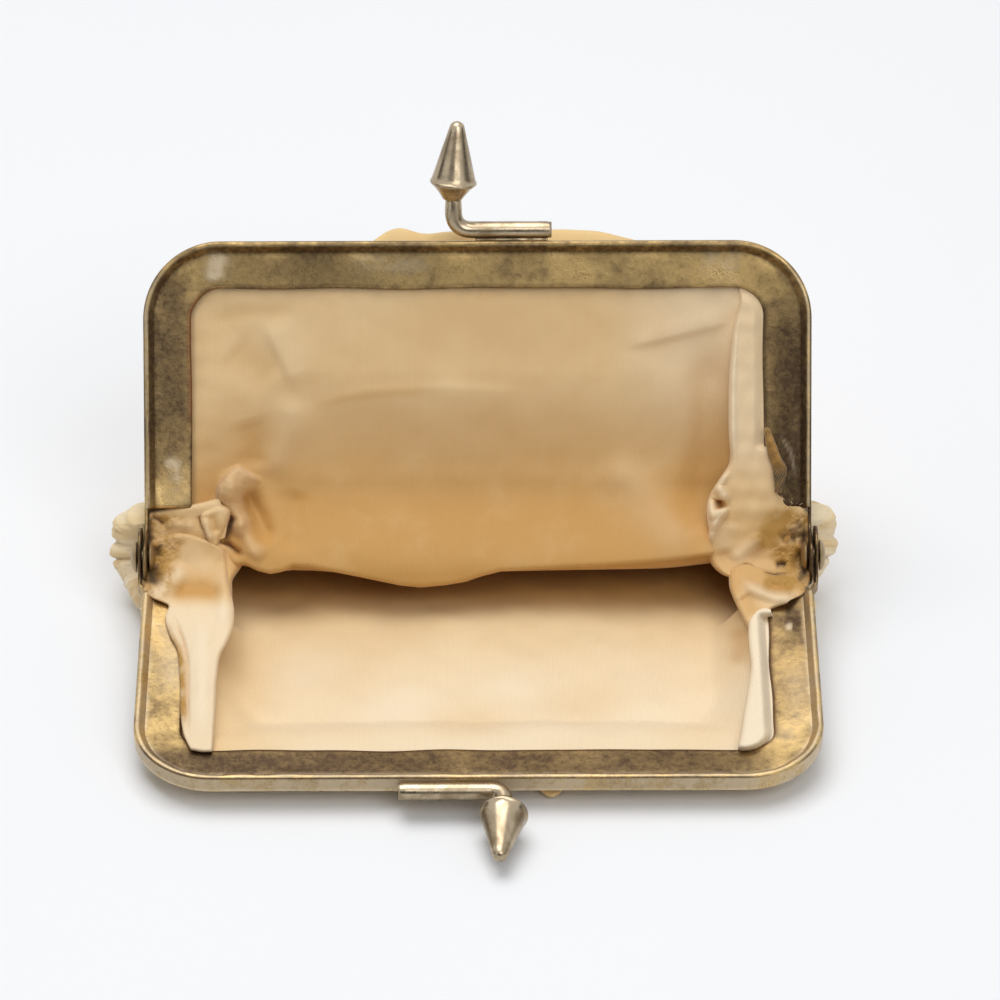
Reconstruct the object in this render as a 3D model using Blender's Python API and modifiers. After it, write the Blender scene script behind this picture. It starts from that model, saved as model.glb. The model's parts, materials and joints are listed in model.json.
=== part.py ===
"""Kiss lock coin purse, standing open on its front side.

A hinged frame of two folded brass channels, two cone knobs on bent arms, and a satin bag with
a lining. Metres, +Z up, +X to the right as one looks into the mouth. Both frame halves are made
in the same flat layout: the hinge axis along X at the origin, the bar at +Y, and the face that
meets the other half at Z = 0 with the metal below it. The front half is turned half round Z.
"""
import math

import bmesh
import bpy
from mathutils import Matrix, Vector

# Frame halves
FRAME_WIDTH = 0.0860
FRAME_REACH = 0.0406
CORNER_RADIUS = 0.0100
SHEET = 0.0004
WALL_DEPTH = 0.0024
FLANGE_REACH = 0.0060
RIM_WIDTH = 0.0004
STEP_WIDTH = 0.0013
STEP_DEPTH = 0.0007
INNER_FALL = 0.0004
OUTER_FLARE = 0.0019
FOLD_RADIUS = 0.00025
LEG_START = 0.0062

# Clearances
GAP = 0.0003
MATING_GAP = 0.0003
WELD_DISTANCE = 0.00001
JOIN_INSET = 0.00003
BORE_OVERRUN = 0.0010

# Hinge
EAR_RADIUS = 0.0038
RIVET_RADIUS = 0.0009
RIVET_HEAD_RADIUS = 0.0020
RIVET_HEAD_RISE = 0.0008
HINGE_HEIGHT = 0.0100
FRONT_SLOPE = math.radians(7)
BACK_LEAN = math.radians(60)

# Clasp
ROD_DIAMETER = 0.0022
ROD_DEPTH = 0.0013
KNOB_DIAMETER = 0.0060
KNOB_CONE = 0.0082
KNOB_RING = 0.0003
KNOB_TAPER = 0.00215
KNOB_TIP_RADIUS = 0.0010
KNOB_BORE_DEPTH = 0.0034
NECK_WALL = 0.0003
TENON_RADIUS = 0.0007
SHOULDER_CHAMFER = 0.0003
KNOB_PASSING_GAP = 0.0001
FRONT_KNOB_RISE = 0.0042
BACK_KNOB_RISE = 0.0062
FRONT_BEND_RADIUS = 0.0016
BACK_BEND_RADIUS = 0.0025
FRONT_KNOB_LEAN = math.radians(3)
BACK_KNOB_LEAN = math.radians(14)
FRONT_ROD_LENGTH = 0.0130
BACK_ROD_LENGTH = 0.0126

# Bag
OUTER_CLOTH = 0.0004
LINING_CLOTH = 0.0003
CLOTH_EDGE_INSET = 0.0026
CORD_DIAMETER = 0.0007
CORD_INSET = 0.0014
BAG_DEPTH = 0.0420
BAG_END_WIDTH = 0.0700
LOBE_WIDTH = 0.0045
LOBE_LENGTH = 0.0090
END_SEAM_HEIGHT = 0.0030
OUTER_BILLOW = 0.0050
LINING_BILLOW = 0.0005
HOLLOW_DEPTH = 0.0033
HOLLOW_TOP = 0.0240
HOLLOW_RUN = 0.0130
DISH_WIDTH = 0.0065
LINING_LIFT = 0.0006
CREASE_HEIGHT = 0.0009
CREASE_PITCH = 0.0260
LOBE_REACH = 0.0070
SEAM_HEIGHT = 0.0040
HEM_LENGTH = 0.0050
SPREAD_SHARE = 0.3
CREASE_SLANT_SHARE = 0.35

# Routes of the back cloths below the split: depth behind the hinge and height, in hinge heights
OUTER_MIDDLE_SHARES = ((1.36, 0.98), (2.4, 0.98), (3.4, 0.78))
OUTER_SIDE_SHARES = ((0.85, 1.05), (1.10, 0.78), (1.9, 0.64), (3.2, 0.53))
LINING_MIDDLE_SHARES = (
    (0.22, 0.99), (-0.10, 0.76), (0.30, 0.645), (1.4, 0.65), (2.6, 0.62), (3.6, 0.5))
LINING_SIDE_SHARES = ((0.36, 1.05), (0.45, 0.75), (0.9, 0.57), (1.8, 0.53), (2.8, 0.48), (3.6, 0.45))

# Counts and mesh fineness
CORNER_STEPS = 8
FOLD_STEPS = 2
EAR_SIDES = 40
ROUND_STEPS = 32
TIP_STEPS = 4
BEND_STEPS = 6
COLUMN_STEPS = 16
CORNER_CLOTH_STEPS = 5
SIDE_STEPS = 4
LOBE_STEPS = 8
FLOOR_STEPS = 2
END_STEPS = 3
BAG_BACK_STEPS = 14
ROD_STEPS = 3
CORD_STEPS = 1
MILLIMETRES = 1000
SHARP_ANGLE = math.radians(35)

# Worked out from the sizes above
HALF_WIDTH = FRAME_WIDTH / 2
RIM_LEVEL = -(MATING_GAP + SHEET) / 2
STEP_LEVEL = RIM_LEVEL - STEP_DEPTH
ROD_RADIUS = ROD_DIAMETER / 2
ROD_REACH = FRAME_REACH + GAP + ROD_RADIUS
KNOB_RADIUS = KNOB_DIAMETER / 2
KNOB_PLACE = (KNOB_DIAMETER + KNOB_PASSING_GAP) / 2
FRONT_EAR_X = HALF_WIDTH + GAP + SHEET / 2
BACK_EAR_X = HALF_WIDTH - SHEET / 2
CLOTH_HALF_WIDTH = HALF_WIDTH - CLOTH_EDGE_INSET

BRASS = (0.42, 0.33, 0.19)
KNOB_METAL = (0.55, 0.47, 0.37)
OUTER_SATIN = (0.78, 0.58, 0.30)
LINING_SATIN = (0.83, 0.66, 0.42)
PAPER = (0.70, 0.62, 0.48)


def clear_scene():
    for thing in list(bpy.data.objects):
        bpy.data.objects.remove(thing)


def new_collection(name):
    group = bpy.data.collections.new(name)
    bpy.context.scene.collection.children.link(group)
    return group


def material(name, color, roughness, metallic):
    finish = bpy.data.materials.new(name)
    finish.use_nodes = True
    shader = finish.node_tree.nodes["Principled BSDF"]
    shader.inputs["Base Color"].default_value = (*color, 1)
    shader.inputs["Roughness"].default_value = roughness
    shader.inputs["Metallic"].default_value = metallic
    finish.diffuse_color = (*color, 1)
    return finish


def smooth(share):
    """An even rise from 0 to 1 that starts and ends level."""
    share = min(max(share, 0), 1)
    return share * share * (3 - 2 * share)


def mix(low, high, share):
    return low + (high - low) * share


def rounded(corners, radii, steps):
    """The corners of an open outline, with an arc in place of each inner corner."""
    points = [Vector(corners[0])]
    for index, radius in enumerate(radii, 1):
        before, corner, after = (Vector(place) for place in corners[index - 1:index + 2])
        incoming = (corner - before).normalized()
        outgoing = (after - corner).normalized()
        turn = math.atan2(incoming.cross(outgoing), incoming.dot(outgoing))
        start = corner - incoming * radius * math.tan(abs(turn) / 2)
        centre = start + incoming.orthogonal() * math.copysign(radius, turn)
        for step in range(steps + 1):
            points.append(centre + Matrix.Rotation(turn * step / steps, 2) @ (start - centre))
    points.append(Vector(corners[-1]))
    return points


def curve_object(name, points, group, radii=None):
    """A poly curve through points of two or three coordinates."""
    curve = bpy.data.curves.new(name, "CURVE")
    curve.dimensions = "3D" if len(points[0]) == 3 else "2D"
    spline = curve.splines.new("POLY")
    spline.points.add(len(points) - 1)
    for index, place in enumerate(points):
        spline.points[index].co = (*place, 1) if len(place) == 3 else (*place, 0, 1)
        spline.points[index].radius = radii[index] if radii else 1
    thing = bpy.data.objects.new(name, curve)
    group.objects.link(thing)
    return thing


def as_mesh(thing, name, group):
    """Replaces a curve object by a welded mesh object in the same place."""
    depsgraph = bpy.context.evaluated_depsgraph_get()
    mesh = bpy.data.meshes.new_from_object(thing.evaluated_get(depsgraph))
    soft = bmesh.new()
    soft.from_mesh(mesh)
    bmesh.ops.remove_doubles(soft, verts=soft.verts, dist=WELD_DISTANCE)
    soft.to_mesh(mesh)
    soft.free()
    solid = bpy.data.objects.new(name, mesh)
    solid.matrix_world = thing.matrix_world
    group.objects.link(solid)
    bpy.data.objects.remove(thing)
    return solid


def thicken(thing, thickness):
    shell = thing.modifiers.new("Sheet", "SOLIDIFY")
    shell.thickness = thickness
    shell.offset = 0
    shell.use_even_offset = True
    return thing


def cut(thing, cutter, operation):
    tool = thing.modifiers.new(operation.title(), "BOOLEAN")
    tool.operation = operation
    tool.solver = "EXACT"
    tool.object = cutter
    cutter.parent = thing
    cutter.hide_render = True
    cutter.display_type = "WIRE"


def rod_along_x(name, radius, start, end, group):
    """A plain cylinder along X between two places, for ears and bores."""
    solid = bmesh.new()
    bmesh.ops.create_cone(
        solid, cap_ends=True, segments=EAR_SIDES, radius1=radius, radius2=radius, depth=end - start,
        matrix=Matrix.Translation(((start + end) / 2, 0, 0)) @ Matrix.Rotation(math.pi / 2, 4, "Y"))
    mesh = bpy.data.meshes.new(name)
    solid.to_mesh(mesh)
    solid.free()
    thing = bpy.data.objects.new(name, mesh)
    group.objects.link(thing)
    return thing


def inner_flange(inset):
    """Level of the sheet's middle in the inner flange, at an inset from the frame's outer face."""
    return STEP_LEVEL - INNER_FALL * (inset - STEP_WIDTH) / (FLANGE_REACH - STEP_WIDTH)


def outer_flange(inset):
    return -WALL_DEPTH - OUTER_FLARE * (inset - SHEET / 2) / (FLANGE_REACH - SHEET / 2)


def channel_profile():
    """The folded sheet's middle line, as inset and level, from outer flange over the rim to inner flange."""
    corners = [
        (FLANGE_REACH, outer_flange(FLANGE_REACH)),
        (SHEET / 2, outer_flange(SHEET / 2)),
        (SHEET / 2, RIM_LEVEL),
        (SHEET / 2 + RIM_WIDTH, RIM_LEVEL),
        (STEP_WIDTH, inner_flange(STEP_WIDTH)),
        (FLANGE_REACH, inner_flange(FLANGE_REACH)),
    ]
    return rounded(corners, [FOLD_RADIUS] * (len(corners) - 2), FOLD_STEPS)


def u_path(inset, leg_start):
    """The frame's U in its flat layout, at an inset from the outer face."""
    side = HALF_WIDTH - inset
    top = FRAME_REACH - inset
    corners = [(side, leg_start), (side, top), (-side, top), (-side, leg_start)]
    return rounded(corners, [CORNER_RADIUS - inset] * 2, CORNER_STEPS)


def ear(name, side, ear_x, helpers):
    """A round ear and its neck, which steps from the ear's plane to the side wall's."""
    wall_x = HALF_WIDTH - SHEET / 2
    route = [
        (ear_x, 0), (ear_x, EAR_RADIUS + GAP),
        (wall_x, LEG_START - GAP), (wall_x, LEG_START + EAR_RADIUS / 2),
    ]
    neck = curve_object(name + "_neck_route", [(side * x, reach) for x, reach in route], helpers)
    top = RIM_LEVEL - FOLD_RADIUS
    bottom = outer_flange(SHEET / 2) + FOLD_RADIUS
    neck.data.extrude = (top - bottom) / 2
    neck.location.z = (top + bottom) / 2
    bpy.context.view_layer.update()
    neck = thicken(as_mesh(neck, name + "_neck", helpers), SHEET - 2 * JOIN_INSET)
    middle = side * ear_x
    plate = rod_along_x(name + "_plate", EAR_RADIUS, middle - SHEET / 2, middle + SHEET / 2, helpers)
    return [neck, plate]


def frame_half(name, ear_x, parts, helpers):
    """One folded channel with its two pierced ears."""
    outline = [(-inset, level) for inset, level in channel_profile()]
    profile = curve_object(name + "_profile", outline, helpers)
    path = curve_object(name + "_path", u_path(0, LEG_START), helpers)
    path.data.bevel_mode = "OBJECT"
    path.data.bevel_object = profile
    bpy.context.view_layer.update()
    half = thicken(as_mesh(path, name, parts), SHEET)
    bpy.data.objects.remove(profile)
    for word, side in (("left", -1), ("right", 1)):
        for piece in ear(f"{name}_ear_{word}", side, ear_x, helpers):
            cut(half, piece, "UNION")
    bore_end = HALF_WIDTH + BORE_OVERRUN
    bore = rod_along_x(name + "_bore", RIVET_RADIUS + GAP, -bore_end, bore_end, helpers)
    cut(half, bore, "DIFFERENCE")
    return half


def turned(name, profile, parts):
    """A shape turned round Z from a profile of radius and height that runs from top to bottom."""
    mesh = bpy.data.meshes.new(name)
    outline = bmesh.new()
    corners = [outline.verts.new((radius, 0, height)) for radius, height in profile]
    for upper, lower in zip(corners, corners[1:]):
        outline.edges.new((upper, lower))
    outline.to_mesh(mesh)
    outline.free()
    thing = bpy.data.objects.new(name, mesh)
    parts.objects.link(thing)
    screw = thing.modifiers.new("Turn", "SCREW")
    screw.steps = ROUND_STEPS
    screw.render_steps = ROUND_STEPS
    screw.use_merge_vertices = True
    screw.merge_threshold = WELD_DISTANCE
    return thing


def dome(radius, rise, top, steps):
    """Profile points of a shallow dome, from its crown out to its edge."""
    angles = [math.pi / 2 * step / steps for step in range(steps + 1)]
    return [(radius * math.sin(angle), top - rise * (1 - math.cos(angle))) for angle in angles]


def rivet(name, side, parts):
    outer = HALF_WIDTH + GAP + SHEET + GAP
    inner = HALF_WIDTH - SHEET - GAP
    head = dome(RIVET_HEAD_RADIUS, RIVET_HEAD_RISE, outer + RIVET_HEAD_RISE, TIP_STEPS)
    tail = dome(RIVET_HEAD_RADIUS, RIVET_HEAD_RISE, RIVET_HEAD_RISE - inner, TIP_STEPS)
    shank = [(RIVET_RADIUS, outer), (RIVET_RADIUS, inner)]
    pin = turned(name, head + shank + [(radius, -height) for radius, height in reversed(tail)], parts)
    pin.rotation_euler.y = side * math.pi / 2
    return pin


def clasp_arm(name, side, rod_length, bend_radius, rise, lean, parts):
    """A rod along the bar that bends up into a stem with a thinner tenon for the knob."""
    shoulder = rise - KNOB_TAPER - GAP
    tenon_top = rise - KNOB_TAPER + KNOB_BORE_DEPTH - GAP
    route = rounded([(rod_length, 0), (0, 0), (0, shoulder)], [bend_radius], BEND_STEPS)
    route += [Vector((0, shoulder + SHOULDER_CHAMFER)), Vector((0, tenon_top))]
    thin_share = TENON_RADIUS / ROD_RADIUS
    radii = [1] * (len(route) - 2) + [thin_share, thin_share]
    places = [(
        side * (KNOB_PLACE - along), ROD_REACH + up * math.cos(lean), up * math.sin(lean) - ROD_DEPTH,
    ) for along, up in route]
    arm = curve_object(name, places, parts, radii)
    arm.data.bevel_depth = ROD_RADIUS
    arm.data.bevel_resolution = ROD_STEPS
    arm.data.use_fill_caps = True
    return arm


def clasp_knob(name, side, rise, lean, parts):
    """A cone with a blunt tip, a thin ring at its widest and a tapered underside with a blind bore."""
    slope = math.atan2(KNOB_RADIUS - KNOB_TIP_RADIUS, KNOB_CONE - KNOB_TIP_RADIUS)
    angles = [(math.pi / 2 - slope) * step / TIP_STEPS for step in range(TIP_STEPS + 1)]
    tip_centre = KNOB_CONE - KNOB_TIP_RADIUS
    tip = [
        (KNOB_TIP_RADIUS * math.sin(angle), tip_centre + KNOB_TIP_RADIUS * math.cos(angle))
        for angle in angles
    ]
    bore = TENON_RADIUS + GAP
    ceiling = KNOB_BORE_DEPTH - KNOB_TAPER
    body = [
        (KNOB_RADIUS, KNOB_RING), (KNOB_RADIUS, 0), (bore + NECK_WALL, -KNOB_TAPER),
        (bore, -KNOB_TAPER), (bore, ceiling), (0, ceiling),
    ]
    knob = turned(name, tip + body, parts)
    knob.rotation_euler.x = lean - math.pi / 2
    knob.location = (side * KNOB_PLACE, ROD_REACH + rise * math.cos(lean), rise * math.sin(lean) - ROD_DEPTH)
    return knob


def channel_cord(name, parts):
    """The paper cord that wedges the cloth, lying in the root of the channel."""
    level = (inner_flange(CORD_INSET) + outer_flange(CORD_INSET)) / 2
    route = [(*place, level) for place in u_path(CORD_INSET, LEG_START + GAP)]
    cord = curve_object(name, route, parts)
    cord.data.bevel_depth = CORD_DIAMETER / 2
    cord.data.bevel_resolution = CORD_STEPS
    cord.data.use_fill_caps = True
    return cord


def cloth_level(inset, outer):
    """Level of a cloth's middle inside the channel, under the inner or over the outer flange."""
    inset = min(inset, FLANGE_REACH)
    if outer:
        return outer_flange(inset) + SHEET / 2 + GAP + OUTER_CLOTH / 2
    return inner_flange(inset) - SHEET / 2 - GAP - LINING_CLOTH / 2


def layer_height(layer):
    """Height of a layer's middle over the table where all four lie on each other: 0 is the outer front."""
    thicknesses = [OUTER_CLOTH, LINING_CLOTH, LINING_CLOTH, OUTER_CLOTH]
    return sum(thicknesses[:layer]) + layer * GAP + thicknesses[layer] / 2


def side_place(reach, lobes):
    """Half the bag's width at a reach from the hinge: up the frame when positive, down the bag when not."""
    straight = FRAME_REACH - CORNER_RADIUS
    if reach > straight:
        radius = CORNER_RADIUS - CLOTH_EDGE_INSET
        rise = min(reach - straight, radius)
        return HALF_WIDTH - CORNER_RADIUS + math.sqrt(max(radius * radius - rise * rise, 0))
    along = min(max(-reach / BAG_DEPTH, 0), 1)
    side = mix(CLOTH_HALF_WIDTH, BAG_END_WIDTH / 2, smooth(along))
    lobe = abs(reach + LOBE_REACH) / LOBE_LENGTH
    return side + (LOBE_WIDTH * smooth(1 - lobe) if lobes else 0)


def corner_distance(x, reach):
    """Distance of a place from the frame's outer face, along the flat layout."""
    across = abs(x) - (HALF_WIDTH - CORNER_RADIUS)
    up = reach - (FRAME_REACH - CORNER_RADIUS)
    if across > 0 and up > 0:
        return CORNER_RADIUS - math.hypot(across, up)
    return CORNER_RADIUS - max(across, up)


def spaced(start, end, count):
    return [mix(start, end, step / count) for step in range(count)]


def frame_rows(last):
    """Reaches of the cloth's rows inside the frame, from the bar's channel down to a last one."""
    straight = FRAME_REACH - CORNER_RADIUS
    radius = CORNER_RADIUS - CLOTH_EDGE_INSET
    corner = [straight + radius * math.cos(angle) for angle in spaced(0, math.pi / 2, CORNER_CLOTH_STEPS)]
    return corner + spaced(straight, last, SIDE_STEPS) + [last]


def bag_rows():
    """Reaches of the rows below the frame, closer where the lobes and the end seam are."""
    lobe_end = -LOBE_REACH - LOBE_LENGTH
    flat_end = DISH_WIDTH - BAG_DEPTH
    beside_lobes = spaced(LEG_START, lobe_end, LOBE_STEPS)[1:]
    floor = spaced(lobe_end, flat_end, FLOOR_STEPS)
    return beside_lobes + floor + spaced(flat_end, -BAG_DEPTH, END_STEPS) + [-BAG_DEPTH]


def cloth(name, rows, place, thickness, parts):
    """A sheet laid over a grid of rows and columns by a function of column share and row."""
    half = COLUMN_STEPS / 2
    grid = bmesh.new()
    bmesh.ops.create_grid(grid, x_segments=COLUMN_STEPS, y_segments=len(rows) - 1, size=1)
    for vert in grid.verts:
        column = round((vert.co.x + 1) * half)
        row = round((1 - vert.co.y) / 2 * (len(rows) - 1))
        share = math.sin((column / half - 1) * math.pi / 2)
        vert.co = place(share, rows[row])
    mesh = bpy.data.meshes.new(name)
    grid.to_mesh(mesh)
    grid.free()
    thing = bpy.data.objects.new(name, mesh)
    parts.objects.link(thing)
    return thicken(thing, thickness)


def front_level(reach, height):
    """Level in the front half's layout of a place at a height over the table."""
    return (height - HINGE_HEIGHT + reach * math.sin(FRONT_SLOPE)) / math.cos(FRONT_SLOPE)


def front_panel(outer):
    """The front cloths lie in the front half's layout: in its channel, then down on the table and back."""
    layer = 0 if outer else 1

    def place(share, reach):
        x = share * side_place(reach, outer)
        from_side = side_place(reach, outer) - abs(x) + CLOTH_EDGE_INSET
        inset = corner_distance(x, reach) if reach > FRAME_REACH - CORNER_RADIUS else from_side
        in_channel = smooth((reach - LEG_START + HEM_LENGTH) / HEM_LENGTH)
        seam = mix(SEAM_HEIGHT, END_SEAM_HEIGHT, smooth(-reach / BAG_DEPTH))
        seam_level = front_level(reach, seam + layer_height(layer))
        rim = mix(seam_level, cloth_level(inset, outer), in_channel)
        lift = 0 if outer else LINING_LIFT
        floor = front_level(reach, layer_height(layer) + lift)
        from_end = smooth((reach + BAG_DEPTH) / DISH_WIDTH)
        inward = smooth((inset - mix(CLOTH_EDGE_INSET, FLANGE_REACH, in_channel)) / DISH_WIDTH)
        return (x, reach, mix(rim, floor, inward * from_end))

    return place


def back_panel(outer):
    """The part of a back cloth that the back half carries, billowing behind its channel."""

    def place(share, reach):
        x = share * side_place(reach, False)
        inset = corner_distance(x, reach)
        hollow = HOLLOW_DEPTH * smooth((HOLLOW_TOP - reach) / HOLLOW_RUN)
        billow = OUTER_BILLOW if outer else LINING_BILLOW + hollow
        return (x, reach, cloth_level(inset, outer) - billow * smooth((inset - FLANGE_REACH) / DISH_WIDTH))

    return place


def smooth_route(points, share):
    """A place along a smooth curve through the points, from 0 at the first to 1 at the last."""
    span = min(int(share * (len(points) - 1)), len(points) - 2)
    part = share * (len(points) - 1) - span
    before = points[max(span - 1, 0)]
    start, end = points[span], points[span + 1]
    after = points[min(span + 2, len(points) - 1)]
    leaving = (end - before) / 2
    arriving = (after - start) / 2
    bend = 3 * (end - start) - 2 * leaving - arriving
    ease = 2 * (start - end) + leaving + arriving
    return start + part * (leaving + part * (bend + part * ease))


def split_line(outer, side_share):
    """Depth and height behind the hinge axis where the cloth of the back half ends."""
    reach = LEG_START - GAP
    _, _, level = back_panel(outer)(side_share, reach)
    depth = reach * math.cos(BACK_LEAN) - level * math.sin(BACK_LEAN)
    height = reach * math.sin(BACK_LEAN) + level * math.cos(BACK_LEAN)
    return Vector((depth, HINGE_HEIGHT + height))


def bag_back(outer):
    """The part of a back cloth below the split, over or inside the bag and down to the end seam."""
    layer = 3 if outer else 2
    middle_shares = OUTER_MIDDLE_SHARES if outer else LINING_MIDDLE_SHARES
    side_shares = OUTER_SIDE_SHARES if outer else LINING_SIDE_SHARES
    end = Vector((BAG_DEPTH, END_SEAM_HEIGHT + layer_height(layer)))
    middle = [split_line(outer, 0)] + [Vector(pair) * HINGE_HEIGHT for pair in middle_shares] + [end]
    side = [split_line(outer, 1)] + [Vector(pair) * HINGE_HEIGHT for pair in side_shares] + [end]

    def place(share, along):
        depth = smooth_route(side, along).x
        width = mix(CLOTH_HALF_WIDTH, side_place(-depth, outer), smooth(along / SPREAD_SHARE))
        inset = width * (1 - abs(share)) + CLOTH_EDGE_INSET
        inward = smooth((inset - FLANGE_REACH) / DISH_WIDTH)
        spot = smooth_route(side, along).lerp(smooth_route(middle, along), inward)
        turn = math.tau * (share * width - CREASE_SLANT_SHARE * spot.x) / CREASE_PITCH
        crease = CREASE_HEIGHT * math.cos(turn) * math.sin(math.pi * along) * inward if outer else 0
        return (share * width, spot.x, spot.y + crease - HINGE_HEIGHT)

    return place


def finish(thing, look, carrier):
    thing.data.materials.clear()
    thing.data.materials.append(look)
    thing.parent = carrier
    if thing.type == "MESH":
        thing.data.shade_smooth()
        thing.data.set_sharp_from_angle(angle=SHARP_ANGLE)


def axis_empty(name, turn, parts, origin):
    """An empty on the hinge axis that carries one half's pieces in their flat layout."""
    empty = bpy.data.objects.new(name, None)
    empty.empty_display_size = FRAME_REACH
    empty.parent = origin
    empty.matrix_local = Matrix.Translation((0, 0, HINGE_HEIGHT)) @ turn
    parts.objects.link(empty)
    return empty


def stand_over_origin(origin, parts):
    """Moves the purse so that the middle of its box stands over the world's origin."""
    bpy.context.view_layer.update()
    depsgraph = bpy.context.evaluated_depsgraph_get()
    corners = []
    for thing in parts.objects:
        if thing.type != "EMPTY":
            solid = thing.evaluated_get(depsgraph)
            mesh = solid.to_mesh()
            corners += [solid.matrix_world @ vert.co for vert in mesh.vertices]
            solid.to_mesh_clear()
    low = Vector(min(corner[axis] for corner in corners) for axis in range(3))
    high = Vector(max(corner[axis] for corner in corners) for axis in range(3))
    origin.location = (-(low.x + high.x) / 2, -(low.y + high.y) / 2, -low.z)
    hinge = origin.location + Vector((0, 0, HINGE_HEIGHT))
    print("box in mm", [round(size * MILLIMETRES, 3) for size in high - low])
    print("hinge axis in mm", [round(place * MILLIMETRES, 4) for place in hinge])


def main():
    clear_scene()
    parts = new_collection("kiss_lock_coin_purse")
    helpers = new_collection("helpers")
    brass = material("tarnished_brass", BRASS, 0.45, 0.9)
    knob_metal = material("worn_nickel", KNOB_METAL, 0.3, 0.95)
    satin = material("outer_satin", OUTER_SATIN, 0.55, 0)
    lining = material("lining_satin", LINING_SATIN, 0.5, 0)
    paper = material("paper_cord", PAPER, 0.9, 0)

    origin = bpy.data.objects.new("purse_origin", None)
    parts.objects.link(origin)
    flat_turn = Matrix.Rotation(math.pi, 4, "Z")
    front = axis_empty("front_half_axis", Matrix.Rotation(FRONT_SLOPE, 4, "X") @ flat_turn, parts, origin)
    back = axis_empty("back_half_axis", Matrix.Rotation(BACK_LEAN, 4, "X"), parts, origin)
    level = axis_empty("bag_axis", Matrix.Identity(4), parts, origin)

    finish(frame_half("front_frame", FRONT_EAR_X, parts, helpers), brass, front)
    finish(frame_half("back_frame", BACK_EAR_X, parts, helpers), brass, back)
    finish(rivet("hinge_rivet_left", -1, parts), brass, level)
    finish(rivet("hinge_rivet_right", 1, parts), brass, level)

    front_clasp = (-1, FRONT_ROD_LENGTH, FRONT_BEND_RADIUS, FRONT_KNOB_RISE, FRONT_KNOB_LEAN)
    back_clasp = (-1, BACK_ROD_LENGTH, BACK_BEND_RADIUS, BACK_KNOB_RISE, BACK_KNOB_LEAN)
    for word, clasp, carrier in (("front", front_clasp, front), ("back", back_clasp, back)):
        side, rod_length, bend_radius, rise, lean = clasp
        arm = clasp_arm(f"clasp_arm_{word}", side, rod_length, bend_radius, rise, lean, parts)
        finish(arm, knob_metal, carrier)
        finish(clasp_knob(f"clasp_knob_{word}", side, rise, lean, parts), knob_metal, carrier)
        finish(channel_cord(f"channel_cord_{word}", parts), paper, carrier)

    front_rows = frame_rows(LEG_START) + bag_rows()
    back_rows = frame_rows(LEG_START)
    bag_shares = spaced(0, 1, BAG_BACK_STEPS) + [1]
    for word, outer, look in (("bag", True, satin), ("lining", False, lining)):
        thickness = OUTER_CLOTH if outer else LINING_CLOTH
        finish(cloth(f"{word}_front_panel", front_rows, front_panel(outer), thickness, parts), look, front)
        finish(cloth(f"{word}_back_panel_upper", back_rows, back_panel(outer), thickness, parts), look, back)
        finish(cloth(f"{word}_back_panel_lower", bag_shares, bag_back(outer), thickness, parts), look, level)

    stand_over_origin(origin, parts)


main()
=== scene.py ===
"""Kiss lock coin purse lying wide open on its front side: its looks and its stage.

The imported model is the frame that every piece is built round, and lengths here are millimetres
until a mesh is made. Each half of the purse has a flat layout: x along the bar, reach from the
hinge axis towards the bar, and level over the face where the two halves meet.
"""
import json
import math

import bpy
import numpy as np
from bpy.props import FloatProperty, FloatVectorProperty, PointerProperty
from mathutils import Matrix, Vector
from mathutils import noise as noise_at


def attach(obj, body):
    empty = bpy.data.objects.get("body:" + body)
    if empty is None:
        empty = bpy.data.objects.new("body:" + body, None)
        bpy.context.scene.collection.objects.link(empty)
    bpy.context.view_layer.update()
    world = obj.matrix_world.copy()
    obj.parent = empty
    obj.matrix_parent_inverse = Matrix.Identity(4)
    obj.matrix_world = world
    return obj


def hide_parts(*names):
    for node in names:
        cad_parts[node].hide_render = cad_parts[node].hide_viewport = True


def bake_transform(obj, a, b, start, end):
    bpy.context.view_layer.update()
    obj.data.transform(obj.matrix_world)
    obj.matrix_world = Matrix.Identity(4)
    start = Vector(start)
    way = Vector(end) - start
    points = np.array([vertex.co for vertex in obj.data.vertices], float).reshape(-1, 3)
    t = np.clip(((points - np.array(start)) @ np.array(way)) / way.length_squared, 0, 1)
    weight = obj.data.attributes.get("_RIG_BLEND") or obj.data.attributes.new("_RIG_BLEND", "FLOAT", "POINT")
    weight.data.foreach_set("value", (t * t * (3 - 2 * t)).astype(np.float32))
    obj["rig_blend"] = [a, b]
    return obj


bl_info = {
    "name": "Kiss Lock Coin Purse",
    "version": (1, 0, 0),
    "blender": (4, 5, 0),
    "location": "View3D > Sidebar > Purse",
    "description": "An open coin purse with a brass frame, a kiss clasp and a satin bag",
    "category": "Object",
}

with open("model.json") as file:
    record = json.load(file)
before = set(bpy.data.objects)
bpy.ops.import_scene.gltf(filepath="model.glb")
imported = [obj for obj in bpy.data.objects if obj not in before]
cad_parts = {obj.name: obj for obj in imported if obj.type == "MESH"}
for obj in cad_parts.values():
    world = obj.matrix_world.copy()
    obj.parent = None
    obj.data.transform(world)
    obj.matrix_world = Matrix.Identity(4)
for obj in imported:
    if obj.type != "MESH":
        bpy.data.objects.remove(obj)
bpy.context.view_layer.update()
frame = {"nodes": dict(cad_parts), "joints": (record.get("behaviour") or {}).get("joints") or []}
FRONT, BACK = "front_half", "back_half"
METRES = 0.001
HINGE = np.array(frame["joints"][0]["pos_m"]) / METRES

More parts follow.
